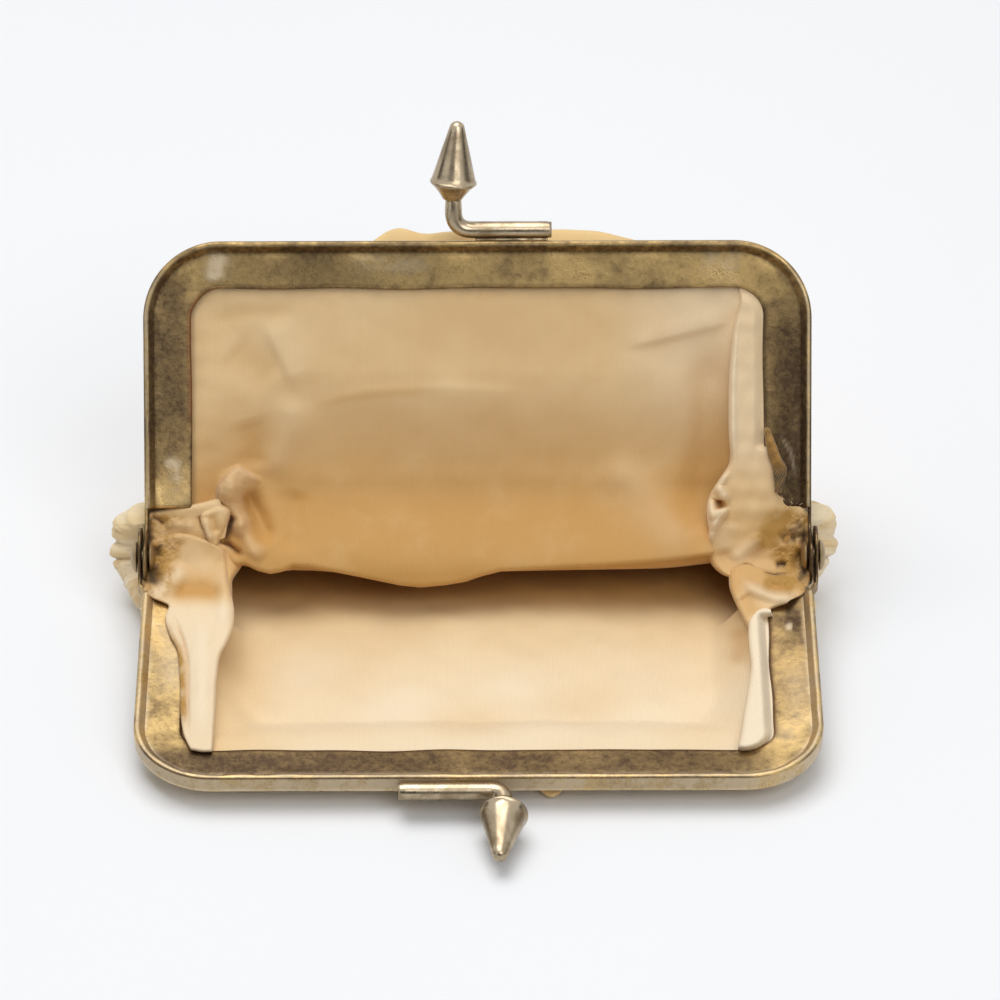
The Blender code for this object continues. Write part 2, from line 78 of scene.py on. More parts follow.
# The folded brass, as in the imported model
HALF_WIDTH = 43.0
BAR_REACH = 40.6
CORNER_RADIUS = 10.0
SHEET = 0.4
WALL_DEPTH = 2.4
FLANGE_REACH = 6.0
RIM_WIDTH = 0.4
STEP_WIDTH = 1.3
STEP_DEPTH = 0.7
INNER_FALL = 0.4
OUTER_FLARE = 1.9
FOLD_RADIUS = 0.25
RIM_LEVEL = -0.35
LEG_START = 6.2
END_BULGE = 0.7
EAR_RADIUS = 3.8
GAP = 0.3
CLOTH_EDGE = 2.6
OUTER_CLOTH = 0.4
LINING_CLOTH = 0.3
END_SEAM = 42.0
BAG_HALF = 40.0
LINING_TAPER = 0.14
EDGE_LINE = 6.2
FRONT_SLOPE = math.radians(7)
BACK_LEAN = math.radians(60)

# Each half's flat layout: direction of reach, and direction of level
LAYOUTS = {
    FRONT: (
        np.array((0, -math.cos(FRONT_SLOPE), -math.sin(FRONT_SLOPE))),
        np.array((0, -math.sin(FRONT_SLOPE), math.cos(FRONT_SLOPE))),
    ),
    BACK: (
        np.array((0, math.cos(BACK_LEAN), math.sin(BACK_LEAN))),
        np.array((0, -math.sin(BACK_LEAN), math.cos(BACK_LEAN))),
    ),
}
ACROSS = np.array((1.0, 0.0, 0.0))

# The photograph's view: the hinge's middle stands at this pixel of a 1000 by 1000 picture
PICTURE = 1000
VIEW_ELEVATION = math.radians(35)
VIEW_DISTANCE = 670.0
LENS = 187.0
SENSOR = 36.0
HINGE_PIXEL = (478.0, 556.0)
TOWARDS_VIEW = np.array((0, -math.cos(VIEW_ELEVATION), math.sin(VIEW_ELEVATION)))
VIEW_UP = np.array((0, math.sin(VIEW_ELEVATION), math.cos(VIEW_ELEVATION)))
PIXEL = SENSOR / LENS / PICTURE
MM_PER_PIXEL = VIEW_DISTANCE * PIXEL


def column(values):
    """Numbers with one more axis, so that each can scale a direction."""
    return np.asarray(values, float)[..., None]


def on_half(half, x, reach, level):
    """World places, in mm, of places in a half's flat layout."""
    along, up = LAYOUTS[half]
    x, reach, level = np.broadcast_arrays(x, reach, level)
    return HINGE + column(x) * ACROSS + column(reach) * along + column(level) * up


def ray(px, py):
    """Slopes of the ray through a pixel: across and up for each mm away from the eye."""
    return (np.asarray(px) - HINGE_PIXEL[0]) * PIXEL, (HINGE_PIXEL[1] - np.asarray(py)) * PIXEL


def seen(px, py, depth):
    """World place of a pixel at a depth towards the eye from the hinge axis."""
    across, up = ray(px, py)
    away = VIEW_DISTANCE - np.asarray(depth, float)
    return HINGE + column(across * away) * ACROSS + column(up * away) * VIEW_UP + column(depth) * TOWARDS_VIEW


def depth_on(half, level, px, py):
    """Depth at which a pixel's ray meets a plane at a level over a half's face."""
    normal = LAYOUTS[half][1]
    _, up = ray(px, py)
    upright = VIEW_UP @ normal
    facing = TOWARDS_VIEW @ normal
    return (level - VIEW_DISTANCE * up * upright) / (facing - up * upright)


def flat_place(half, level, px, py):
    """Where a pixel falls on a plane over a half's face, as x and reach."""
    place = seen(px, py, depth_on(half, level, px, py)) - HINGE
    return place[..., 0], place @ LAYOUTS[half][0]


def rise(low, high, value):
    """An even rise from 0 to 1 that starts and ends level."""
    share = np.clip((np.asarray(value, float) - low) / (high - low), 0, 1)
    return share * share * (3 - 2 * share)


def mix(low, high, share):
    """Between two values, by a share."""
    return low + (high - low) * share


def gauss(value, width):
    """A bell of height 1 round 0."""
    return np.exp(-(value / width) ** 2)


def ripples(u, v, size, seed, count=7):
    """A smooth uneven field between about -1 and 1, with waves of about one size."""
    draw = np.random.default_rng(seed)
    total = 0
    for _ in range(count):
        turn = draw.uniform(0, math.tau)
        pitch = size * draw.uniform(0.7, 1.5)
        wave = (u * math.cos(turn) + v * math.sin(turn)) * math.tau / pitch
        total = total + np.sin(wave + draw.uniform(0, math.tau))
    return total / math.sqrt(count)


# Share of a stroke's length over which each end thins out
STROKE_END = 0.25


def stroke(u, v, points, near, far):
    """A ridge of height 1 along a line of points, thinning out towards its ends.

    Going along the line in pixels, near is the ridge's width on the right-hand side and far on the left.
    """
    points = np.asarray(points, float)
    lengths = np.hypot(*np.diff(points, axis=0).T)
    whole = lengths.sum()
    best = np.full(np.shape(u), np.inf)
    side = np.zeros(np.shape(u))
    place = np.zeros(np.shape(u))
    run = 0
    for start, end, length in zip(points, points[1:], lengths):
        way = (end - start) / length
        along = (u - start[0]) * way[0] + (v - start[1]) * way[1]
        inside = np.clip(along, 0, length)
        du = u - start[0] - way[0] * inside
        dv = v - start[1] - way[1] * inside
        distance = np.hypot(du, dv)
        closer = distance < best
        best = np.where(closer, distance, best)
        side = np.where(closer, way[0] * dv - way[1] * du, side)
        place = np.where(closer, (run + inside) / whole, place)
        run += length
    ends = rise(0, STROKE_END, place) * rise(0, STROKE_END, 1 - place)
    return gauss(best, np.where(side > 0, near, far)) * ends


def painted(px, py, strokes, scale=1.0):
    """Sum of strokes over pixels: points, the two widths and the height of each."""
    total = 0
    for points, near, far, height in strokes:
        total = total + height * stroke(px, py, points, near / scale, far / scale)
    return total


def relief(px, py, folds):
    """Sum of strokes whose widths and heights are in mm."""
    return painted(px, py, folds, MM_PER_PIXEL)


def grid_faces(rows, columns, flip=False):
    """Faces of a grid of places, row by row."""
    index = np.arange(rows * columns).reshape(rows, columns)
    corners = [index[:-1, :-1], index[:-1, 1:], index[1:, 1:], index[1:, :-1]]
    faces = np.stack([corner.ravel() for corner in corners], -1)
    return faces[:, ::-1] if flip else faces


def ring_faces(rings, sides, inward=False):
    """Faces round a row of closed rings, with a face over each end."""
    index = np.arange(rings * sides).reshape(rings, sides)
    after = np.roll(index, -1, axis=1)
    corners = [index[:-1], after[:-1], after[1:], index[1:]]
    ends = [index[0][::-1], index[-1]]
    if inward:
        corners = corners[:1] + corners[:0:-1]
        ends = [end[::-1] for end in ends]
    faces = np.stack([corner.ravel() for corner in corners], -1).tolist()
    return faces + [end.tolist() for end in ends]


def new_mesh(name, places, faces, marks=None):
    """A smooth mesh object from places in mm, with named numbers or vectors kept at its points."""
    mesh = bpy.data.meshes.new(name)
    mesh.from_pydata((np.asarray(places) * METRES).tolist(), [], [list(map(int, face)) for face in faces])
    for word, values in (marks or {}).items():
        values = np.asarray(values, np.float32)
        kind = "FLOAT_VECTOR" if values.ndim > 1 else "FLOAT"
        mark = mesh.attributes.new(word, kind, "POINT")
        mark.data.foreach_set("vector" if values.ndim > 1 else "value", values.ravel())
    mesh.validate()
    mesh.shade_smooth()
    thing = bpy.data.objects.new(name, mesh)
    bpy.context.scene.collection.objects.link(thing)
    return thing


def sheet_mesh(name, places, marks=None, flip=False):
    """A sheet from rows of places in mm, with marks laid out as the places are."""
    listed = {word: values.reshape(-1, *values.shape[2:]) for word, values in (marks or {}).items()}
    return new_mesh(name, places.reshape(-1, 3), grid_faces(*places.shape[:2], flip), listed)


def settled(thing):
    """Applies every modifier of a piece to its mesh."""
    bpy.context.view_layer.update()
    depsgraph = bpy.context.evaluated_depsgraph_get()
    mesh = bpy.data.meshes.new_from_object(thing.evaluated_get(depsgraph))
    thing.modifiers.clear()
    old = thing.data
    thing.data = mesh
    bpy.data.meshes.remove(old)
    mesh.name = thing.name
    return thing


def thicken(thing, thickness):
    """A sheet with half its thickness on each side."""
    shell = thing.modifiers.new("Cloth", "SOLIDIFY")
    shell.thickness = thickness * METRES
    shell.offset = 0.0
    return settled(thing)


def directions(line):
    """Unit directions along a line of places."""
    ways = np.gradient(line, axis=0)
    return ways / np.linalg.norm(ways, axis=1, keepdims=True)


def sideways(way):
    """A direction square to another one."""
    return np.cross(way, ACROSS if abs(way @ ACROSS) < 0.9 else (0, 0, 1.0))


def spokes(side, other, count):
    """Directions evenly round the circle that two square ones span."""
    turn = np.linspace(0, math.tau, count, endpoint=False)
    return column(np.cos(turn)) * side + column(np.sin(turn)) * other


def tube(name, route, radii, sides):
    """A closed round bar along a route of places in mm."""
    route = np.asarray(route, float)
    radii = np.broadcast_to(np.asarray(radii, float), len(route))
    ways = directions(route)
    side = sideways(ways[0])
    rings = []
    for place, way, radius in zip(route, ways, radii):
        side = side - way * (side @ way)
        side /= np.linalg.norm(side)
        rings.append(place + radius * spokes(side, np.cross(way, side), sides))
    return new_mesh(name, np.vstack(rings), ring_faces(len(route), sides))


def joined(name, things):
    """Several mesh objects as one piece."""
    base = things[0]
    if len(things) > 1:
        with bpy.context.temp_override(active_object=base, object=base, selected_editable_objects=things):
            bpy.ops.object.join()
    base.name = name
    base.data.name = name
    return base


def from_corner(x, reach):
    """How far a place is past the middle of a corner's bend, along the bar and along the leg."""
    return np.abs(x) - (HALF_WIDTH - CORNER_RADIUS), reach - (BAR_REACH - CORNER_RADIUS)


def corner_distance(x, reach):
    """Distance from the frame's outer face, in the flat layout."""
    across, up = from_corner(x, reach)
    past = np.where((across > 0) & (up > 0), np.hypot(across, up), np.maximum(across, up))
    return CORNER_RADIUS - past


def inner_flange(inset):
    """Level of the inner flange's middle, at an inset from the frame's outer face."""
    return RIM_LEVEL - STEP_DEPTH - INNER_FALL * (inset - STEP_WIDTH) / (FLANGE_REACH - STEP_WIDTH)


def outer_flange(inset):
    """Level of the outer flange's middle, at an inset from the frame's outer face."""
    return -WALL_DEPTH - OUTER_FLARE * (inset - SHEET / 2) / (FLANGE_REACH - SHEET / 2)


def rounded_line(corners, radius, steps, spacing):
    """An open line through corners with each inner one rounded off, with points about evenly spaced."""
    corners = [np.array(corner, float) for corner in corners]
    points = [corners[0]]
    for before, corner, after in zip(corners, corners[1:], corners[2:]):
        into = (corner - before) / np.linalg.norm(corner - before)
        out = (after - corner) / np.linalg.norm(after - corner)
        turn = math.atan2(into[0] * out[1] - into[1] * out[0], into @ out)
        reach = radius * math.tan(abs(turn) / 2)
        start = corner - into * reach
        end = corner + out * reach
        for step in range(steps + 1):
            share = step / steps
            points.append(start * (1 - share) ** 2 + 2 * corner * share * (1 - share) + end * share ** 2)
    points.append(corners[-1])
    line = [points[0]]
    for start, end in zip(points, points[1:]):
        parts = max(1, round(float(np.linalg.norm(end - start)) / spacing))
        line += [mix(start, end, (part + 1) / parts) for part in range(parts)]
    return np.array(line)


def channel_section():
    """The folded sheet's closed outline, as inset and level."""
    middle = rounded_line([
        (FLANGE_REACH, outer_flange(FLANGE_REACH)),
        (SHEET / 2, outer_flange(SHEET / 2)),
        (SHEET / 2, RIM_LEVEL),
        (SHEET / 2 + RIM_WIDTH, RIM_LEVEL),
        (STEP_WIDTH, inner_flange(STEP_WIDTH)),
        (FLANGE_REACH, inner_flange(FLANGE_REACH)),
    ], FOLD_RADIUS, 5, 0.3)
    ways = directions(middle)
    normals = np.stack([-ways[:, 1], ways[:, 0]], -1)
    half = SHEET / 2
    last = middle[-1] + ways[-1] * half * END_BULGE
    first = middle[0] - ways[0] * half * END_BULGE
    return np.vstack([middle + normals * half, last, (middle - normals * half)[::-1], first])


def u_stations(spacing=0.5):
    """Places along the frame's outer U with the inward direction and the length run, in the flat layout."""
    straight = BAR_REACH - CORNER_RADIUS
    bar_end = HALF_WIDTH - CORNER_RADIUS
    legs = np.linspace(LEG_START, straight, round((straight - LEG_START) / spacing) + 1)
    turns = np.linspace(0, math.pi / 2, 30)[1:-1]
    bar = np.linspace(bar_end, -bar_end, round(2 * bar_end / spacing) + 1)
    places = [(HALF_WIDTH, reach, -1, 0) for reach in legs]
    places += [(
        HALF_WIDTH - CORNER_RADIUS * (1 - math.cos(turn)), straight + CORNER_RADIUS * math.sin(turn),
        -math.cos(turn), -math.sin(turn),
    ) for turn in turns]
    places += [(x, BAR_REACH, 0, -1) for x in bar]
    places = np.array(places)
    left = places[:len(legs) + len(turns)][::-1] * np.array((-1, 1, -1, 1))
    places = np.vstack([places, left])
    run = np.concatenate([[0], np.cumsum(np.hypot(*np.diff(places[:, :2], axis=0).T))])
    return places, run


def channel(half, seed):
    """One folded brass channel, with the small unevenness of a pressed and handled strip."""
    section = channel_section()
    places, run = u_stations()
    inset, level = section[None, :, 0], section[None, :, 1]
    along, same = run[:, None], inset * 0
    uneven = bpy.context.scene.purse_metal.unevenness / METRES
    free_edge = rise(2, FLANGE_REACH, inset)
    step = gauss(inset - STEP_WIDTH, 0.8)
    deep = inset + uneven * free_edge * ripples(along, same + seed, 13, seed)
    lift = level + uneven * 0.6 * (0.3 + free_edge) * ripples(along, same, 17, seed + 1)
    lift = lift + uneven * 0.5 * step * ripples(along, same, 6, seed + 2)
    x = places[:, 0, None] + places[:, 2, None] * deep
    reach = places[:, 1, None] + places[:, 3, None] * deep
    world = on_half(half, x, reach, lift)
    faces = ring_faces(len(places), len(section))
    if half == BACK:
        faces = [face[::-1] for face in faces]
    marks = {
        "inset": np.broadcast_to(inset, lift.shape).ravel(),
        "flat": np.stack([x, reach, lift], -1).reshape(-1, 3),
    }
    return new_mesh("channel", world.reshape(-1, 3), faces, marks)


def ear(half, side, ear_x):
    """A round hinge ear and the neck that joins it to the end of a leg."""
    reaches = np.concatenate([
        -EAR_RADIUS * np.cos(np.linspace(0.02, 1, 18) * math.pi / 2), np.linspace(0.1, LEG_START + 2, 30),
    ])
    wall_x = HALF_WIDTH - SHEET / 2
    top, bottom = RIM_LEVEL - FOLD_RADIUS, outer_flange(SHEET / 2) + FOLD_RADIUS
    round_half = np.sqrt(np.maximum(EAR_RADIUS ** 2 - reaches ** 2, 0))
    neck = rise(1.2, 4.2, reaches)
    high = mix(round_half, top, neck)
    low = mix(-round_half, bottom, neck)
    across = np.linspace(0, 1, 13)
    level = mix(low[:, None], high[:, None], across)
    reach = np.broadcast_to(reaches[:, None], level.shape)
    x = mix(ear_x, wall_x, rise(EAR_RADIUS + GAP, LEG_START - GAP, reach)) * side
    marks = {"inset": np.zeros(level.shape), "flat": np.stack([x, reach, level], -1)}
    plate = sheet_mesh("ear", on_half(half, x, reach, level), marks)
    return thicken(plate, SHEET * 0.96)


def turned(name, profile, origin, axis, steps):
    """A closed solid turned round an axis from (radius, height) points that run from tip to foot."""
    profile = np.asarray(profile, float)
    axis = np.asarray(axis, float) / np.linalg.norm(axis)
    side = sideways(axis)
    side /= np.linalg.norm(side)
    wheel = spokes(side, np.cross(axis, side), steps)
    rings = origin + profile[:, 0, None, None] * wheel + profile[:, 1, None, None] * axis
    return new_mesh(name, rings.reshape(-1, 3), ring_faces(len(profile), steps, inward=True))


# Materials

# Length of one band of a wave texture of scale 1
WAVE_SCALE = 0.314


def node(tree, kind, sockets=None, **settings):
    """Adds a node with its settings, and sets or links its sockets."""
    made = tree.nodes.new(kind)
    for word, value in settings.items():
        setattr(made, word, value)
    for word, value in (sockets or {}).items():
        if isinstance(value, bpy.types.NodeSocket):
            tree.links.new(value, made.inputs[word])
        else:
            made.inputs[word].default_value = value
    return made


def new_material(name, **sockets):
    """A material, its tree and its shader with some of the sockets set."""
    finish = bpy.data.materials.new(name)
    finish.use_nodes = True
    tree = finish.node_tree
    shader = tree.nodes["Principled BSDF"]
    for word, value in sockets.items():
        shader.inputs[word.replace("_", " ")].default_value = value
    return finish, tree, shader


def mark(tree, word, vector=False):
    """Reads what a mesh keeps at its points under a word."""
    made = node(tree, "ShaderNodeAttribute", attribute_name=word)
    return made.outputs["Vector" if vector else "Fac"]


def noise(tree, place, scale, detail=3.0, roughness=0.55, distortion=0.0):
    """Cloudy noise, mostly between 0.3 and 0.7."""
    return node(tree, "ShaderNodeTexNoise", {
        "Vector": place, "Scale": scale, "Detail": detail, "Roughness": roughness, "Distortion": distortion,
    }).outputs["Fac"]


def plug(tree, socket, value):
    """Links a socket to another one, or sets it to a number, a vector or an opaque colour."""
    if isinstance(value, bpy.types.NodeSocket):
        tree.links.new(value, socket)
    else:
        socket.default_value = (*value, 1) if socket.type == "RGBA" else value


def math_node(tree, operation, *values, clamp=False):
    """One step of arithmetic on sockets and numbers."""
    made = node(tree, "ShaderNodeMath", operation=operation, use_clamp=clamp)
    for socket, value in zip(made.inputs, values):
        plug(tree, socket, value)
    return made.outputs[0]


def add(tree, first, second, clamp=False):
    return math_node(tree, "ADD", first, second, clamp=clamp)


def times(tree, first, second, clamp=False):
    return math_node(tree, "MULTIPLY", first, second, clamp=clamp)


def band(tree, value, low, high, to_low=0.0, to_high=1.0):
    """Goes smoothly from one number to another as a value crosses a band."""
    return node(tree, "ShaderNodeMapRange", {
        "Value": value, "From Min": low, "From Max": high, "To Min": to_low, "To Max": to_high,
    }, interpolation_type="SMOOTHSTEP").outputs["Result"]


def blend_colour(tree, share, low, high):
    """Mixes two colours by a share."""
    made = node(tree, "ShaderNodeMix", data_type="RGBA")
    for place, value in ((0, share), (6, low), (7, high)):
        plug(tree, made.inputs[place], value)
    return made.outputs[2]


def coats(tree, colour, *layers):
    """A colour with layers over it, each a share and a colour."""
    for share, over in layers:
        colour = blend_colour(tree, share, colour, over)
    return colour


def wire(tree, shader, colour, height, distance, strength, **sockets):
    """Wires a colour, a fine relief and any other sockets to a shader."""
    raised = node(tree, "ShaderNodeBump", {"Height": height, "Distance": distance, "Strength": strength})
    sockets.update(Base_Color=colour, Normal=raised.outputs["Normal"])
    for word, value in sockets.items():
        tree.links.new(value, shader.inputs[word.replace("_", " ")])


def brass_material():
    """Old brass: olive film and tarnish in clouds, and the rust, rubbing, dirt, painted shade and painted
    light that the marks ask for.
    """
    look = bpy.context.scene.purse_metal
    finish, tree, shader = new_material("tarnished_brass")
    place = mark(tree, "flat", True)
    broad = noise(tree, place, 0.07, 4, 0.6)
    patchy = noise(tree, place, 0.28, 6, 0.7)
    fine = noise(tree, place, 1.3, 5, 0.7)
    grain = noise(tree, place, 7.0, 2, 0.6)
    dark = add(tree, band(tree, patchy, 0.38, 0.72, 0, 0.5), band(tree, broad, 0.4, 0.65, 0, 0.25))
    dark = add(tree, dark, band(tree, fine, 0.45, 0.75, 0, 0.3), clamp=True)
    full = add(tree, band(tree, fine, 0.35, 0.7, 0, 0.2), band(tree, patchy, 0.3, 0.7, 0.76, 0.93))
    dark = node(tree, "ShaderNodeMix", {0: mark(tree, "dark"), 2: dark, 3: full}).outputs[0]
    # The rubbed mark is worn brass, and on the front half's outer wall painted light; it also makes the metal
    # smoother and less metallic
    rubbed_and_lit = mark(tree, "worn")
    colour = coats(
        tree, look.brass[:],
        (band(tree, broad, 0.4, 0.6, 0, 0.6), look.olive[:]),
        (dark, look.tarnish_and_shade[:]),
        (mark(tree, "rust"), look.rust[:]),
        (times(tree, rubbed_and_lit, band(tree, patchy, 0.36, 0.56, 0.15, 1.0), clamp=True), look.worn[:]),
        (times(tree, mark(tree, "dirt_and_shade"), band(tree, fine, 0.3, 0.6, 0.75, 1.0), clamp=True), look.dirt_and_shade[:]),
    )
    rough = add(tree, band(tree, patchy, 0.3, 0.7, 0.3, 0.48), band(tree, grain, 0.3, 0.7, -0.05, 0.07))
    rough = math_node(tree, "SUBTRACT", rough, times(tree, rubbed_and_lit, 0.08))
    wire(tree, shader, colour, add(tree, fine, times(tree, grain, 0.4)), 0.00006, 0.6,
         Roughness=rough, Metallic=band(tree, rubbed_and_lit, 0, 1, 0.92, 0.25))
    return finish


def clasp_material():
    """Plated metal of the rods and knobs, worn in spots."""
    look = bpy.context.scene.purse_metal
    finish, tree, shader = new_material("worn_clasp_metal", Metallic=0.95)
    place = node(tree, "ShaderNodeTexCoord").outputs["Object"]
    fine = noise(tree, place, 900, 4, 0.6)
    patchy = noise(tree, place, 260, 4, 0.6, 0.5)
    colour = coats(
        tree, look.clasp[:],
        (band(tree, patchy, 0.4, 0.7), look.clasp_dark[:]),
        (band(tree, fine, 0.6, 0.75, 0, 0.5), look.tarnish_and_shade[:]),
    )
    wire(tree, shader, colour, fine, 0.00003, 0.5, Roughness=band(tree, patchy, 0.3, 0.7, 0.2, 0.36))
    return finish


def thread_bands(tree, place, axis, scale, distortion, **sockets):
    """Raised threads square to an axis of the cloth."""
    settings = {"Vector": place, "Scale": scale, "Distortion": distortion, "Detail": 2.0}
    settings.update({word.replace("_", " "): value for word, value in sockets.items()})
    made = node(tree, "ShaderNodeTexWave", settings, wave_type="BANDS", bands_direction=axis)
    return made.outputs["Fac"]


def satin_material(name, colour, shade, stain, sheen):
    """Satin with a fine warp and a slanting twill, from the cloth's own coordinates in mm."""
    look = bpy.context.scene.purse_cloth
    finish, tree, shader = new_material(
        name, Roughness=0.62, Sheen_Weight=sheen, Sheen_Roughness=0.4, Specular_IOR_Level=0.35)
    place = mark(tree, "cloth", True)
    broad = noise(tree, place, 0.05, 3, 0.55)
    cloudy = noise(tree, place, 0.16, 4, 0.6, 0.3)
    stretched = node(tree, "ShaderNodeMapping", {"Vector": place, "Scale": (2.2, 0.22, 1)}).outputs[0]
    slub = noise(tree, stretched, 1.0, 3, 0.6)
    slant = (0, 0, math.radians(62))
    slanting = node(tree, "ShaderNodeMapping", {"Vector": place, "Rotation": slant}).outputs[0]
    fineness = WAVE_SCALE / (look.thread_pitch / METRES)
    warp = thread_bands(tree, place, "X", fineness, 1.2, Detail_Scale=1.5)
    twill = thread_bands(tree, slanting, "X", fineness * 0.8, 0.8)
    weft = thread_bands(tree, place, "Y", fineness * 1.3, 1.0)
    weave = add(tree, times(tree, warp, 0.6), times(tree, twill, 0.35))
    weave = add(tree, weave, times(tree, weft, 0.15))
    tint = coats(
        tree, colour,
        (band(tree, broad, 0.35, 0.65, 0, 0.5), shade),
        (band(tree, cloudy, 0.5, 0.75, 0, 0.3), shade),
        # The stain and grime marks lay painted shade as well as ageing and dirt, and the pale mark lays
        # painted light
        (times(tree, mark(tree, "stain"), band(tree, cloudy, 0.25, 0.55, 0.85, 1.0), clamp=True), stain),
        (mark(tree, "pale"), look.pale[:]),
        (mark(tree, "glue"), look.glue[:]),
        (mark(tree, "grime"), look.grime[:]),
        (band(tree, weave, 0.2, 0.8, 0.16, 0.0), shade),
        (band(tree, slub, 0.62, 0.8, 0.0, 0.14), shade),
    )
    wire(tree, shader, tint, add(tree, weave, times(tree, slub, 0.4)), 0.00005, 0.4)
    return finish


# Cloth

# The back lining's lower edge in the picture, in pixels
BACK_FOLD_EDGE = (
    (205, 540), (222, 552), (232, 562), (245, 560), (258, 566), (270, 569), (282, 567), (292, 562),
    (310, 563), (340, 569), (370, 575), (400, 581), (420, 583), (445, 581), (465, 578), (480, 573),
    (500, 568), (530, 566), (600, 563), (640, 560), (690, 555), (712, 552), (740, 545),
)
# Ridges and hollows of the back lining: pixels along the line, then in mm the width on the right-hand
# side going along it, the width on the left and the height
BACK_FOLDS = (
    (((268, 318), (274, 338), (289, 366), (298, 390)), 0.9, 3.0, 0.55),
    (((298, 392), (291, 425), (276, 456), (264, 478)), 2.2, 2.0, 0.7),
    (((228, 345), (250, 362), (276, 382)), 2.6, 2.6, -0.45),
    (((246, 415), (256, 445), (256, 470)), 2.2, 2.2, -0.6),
    (((205, 322), (240, 313), (300, 309)), 1.0, 1.4, -0.25),
    (((300, 414), (320, 404), (366, 393), (440, 389), (540, 394)), 2.4, 1.0, 0.3),
    (((735, 320), (700, 328), (660, 338), (622, 347)), 1.6, 0.6, 0.5),
    (((212, 504), (219, 496), (222, 485), (232, 472), (239, 468), (249, 475), (262, 482)), 2.2, 0.3, 2.3),
    (((238, 470), (234, 481), (234.5, 493), (238, 507), (241, 518), (238, 528), (232, 537)), 1.3, 1.0, 1.9),
    (((232, 511), (230, 518), (226, 528), (218, 541)), 0.8, 0.8, -2.2),
    (((214, 543), (229, 545), (238, 552), (243, 558)), 0.45, 0.45, -1.6),
    (((247, 484), (248, 500), (256, 516), (264, 532), (264, 548)), 1.5, 1.4, -1.5),
    (((242, 508), (246, 530), (253, 548), (266, 560)), 0.9, 1.3, 0.9),
    (((296, 486), (292, 520), (293, 556)), 1.8, 1.6, -0.6),
    (((600, 455), (644, 499), (673, 533), (700, 552)), 3.2, 2.4, 0.7),
    (((708, 330), (712, 420), (706, 500), (700, 540)), 2.8, 3.4, -1.5),
)


def pixel_of(world):
    """The pixel that a world place falls on."""
    place = np.asarray(world) - HINGE
    away = VIEW_DISTANCE - place @ TOWARDS_VIEW
    return HINGE_PIXEL[0] + place[..., 0] / away / PIXEL, HINGE_PIXEL[1] - (place @ VIEW_UP) / away / PIXEL


def side_place(reach, lobes=0.0):
    """Half the width of the cloth at a reach from the hinge."""
    reach = np.asarray(reach, float)
    straight = BAR_REACH - CORNER_RADIUS
    radius = CORNER_RADIUS - CLOTH_EDGE
    up = np.clip(reach - straight, 0, radius)
    in_frame = HALF_WIDTH - CORNER_RADIUS + np.sqrt(np.maximum(radius ** 2 - up ** 2, 0))
    below = mix(HALF_WIDTH - CLOTH_EDGE, 35.0, rise(0, END_SEAM, -reach))
    lobe = lobes * rise(0, 1, 1 - np.abs(reach + 7.0) / 9.0)
    return np.where(reach > straight, in_frame, below + lobe)


def curve_through(points, shares):
    """Places on a smooth curve through points (first axis), at shares from 0 to 1."""
    points = np.asarray(points, float)
    spans = len(points) - 1
    spot = np.clip(np.asarray(shares, float) * spans, 0, spans - 1e-9)
    index = spot.astype(int)
    part = (spot - index).reshape(-1, *[1] * (points.ndim - 1))
    before = points[np.maximum(index - 1, 0)]
    start, end = points[index], points[index + 1]
    after = points[np.minimum(index + 2, spans)]
    leaving, arriving = (end - before) / 2, (after - start) / 2
    ease = 2 * (start - end) + leaving + arriving
    return start + part * (leaving + part * (3 * (end - start) - 2 * leaving - arriving + part * ease))


def seam_height(depth):
    """Height of the outer cloth's side seam above the table, at a distance behind the hinge."""
    return mix(4.0, 3.0, rise(0, END_SEAM, depth)) + 0.25 * ripples(depth, 0, 9, 71)


def above_table(height, reach):
    """Level over the front half's face of a height above the table."""
    return (height - HINGE[2] + reach * math.sin(FRONT_SLOPE)) / math.cos(FRONT_SLOPE)


def beside(world):
    """Distances behind the hinge and heights above the table of world places."""
    place = world - HINGE
    return np.stack([place[:, 1], place[:, 2] + HINGE[2]], -1)


def behind(x, depth, height):
    """World places at distances behind the hinge and heights above the table."""
    return HINGE + np.stack([x, depth, height - HINGE[2]], -1)


def side_views(middle, sides, to_side):
    """Stations of a sheet's side view, which changes from its middle to its sides."""
    return [mix(np.array(inner), np.array(outer), to_side) for inner, outer in zip(middle, sides)]


def run_down(world):
    """Length run along each column of a sheet of places."""
    steps = np.linalg.norm(np.diff(world, axis=0), axis=-1)
    return np.vstack([np.zeros(world.shape[1]), np.cumsum(steps, axis=0)])


def lining_level(inset, outer=False):
    """Level of the middle of the lining, or of the outer cloth, beside its flange."""
    inset = np.minimum(inset, FLANGE_REACH)
    if outer:
        return outer_flange(inset) + SHEET / 2 + GAP + OUTER_CLOTH / 2
    return inner_flange(inset) - SHEET / 2 - GAP - LINING_CLOTH / 2


def puckers(x, reach, inset, size, seed):
    """Small gathers that run in from the frame's edge and die away."""
    run = np.where(np.abs(x) > HALF_WIDTH - CORNER_RADIUS, reach, np.abs(x)) + 7 * np.sign(x)
    return size * gauss(inset - FLANGE_REACH, 3.5) * ripples(run, inset * 0, 3.2, seed)


def cloth_marks(x, run, stain=0, grime=0, glue=0, pale=0):
    """Marks of a sheet: its own coordinates in mm across and down, and how aged, dirty and pale it is; the
    stain and grime marks also hold painted shade and the pale mark painted light.
    """
    x, run = np.broadcast_arrays(x, run)
    marks = {"cloth": np.stack([x, run, np.zeros(x.shape)], -1)}
    for word, value in (("stain", stain), ("grime", grime), ("glue", glue), ("pale", pale)):
        marks[word] = np.clip(np.broadcast_to(np.asarray(value, float), x.shape), 0, 1)
    return marks


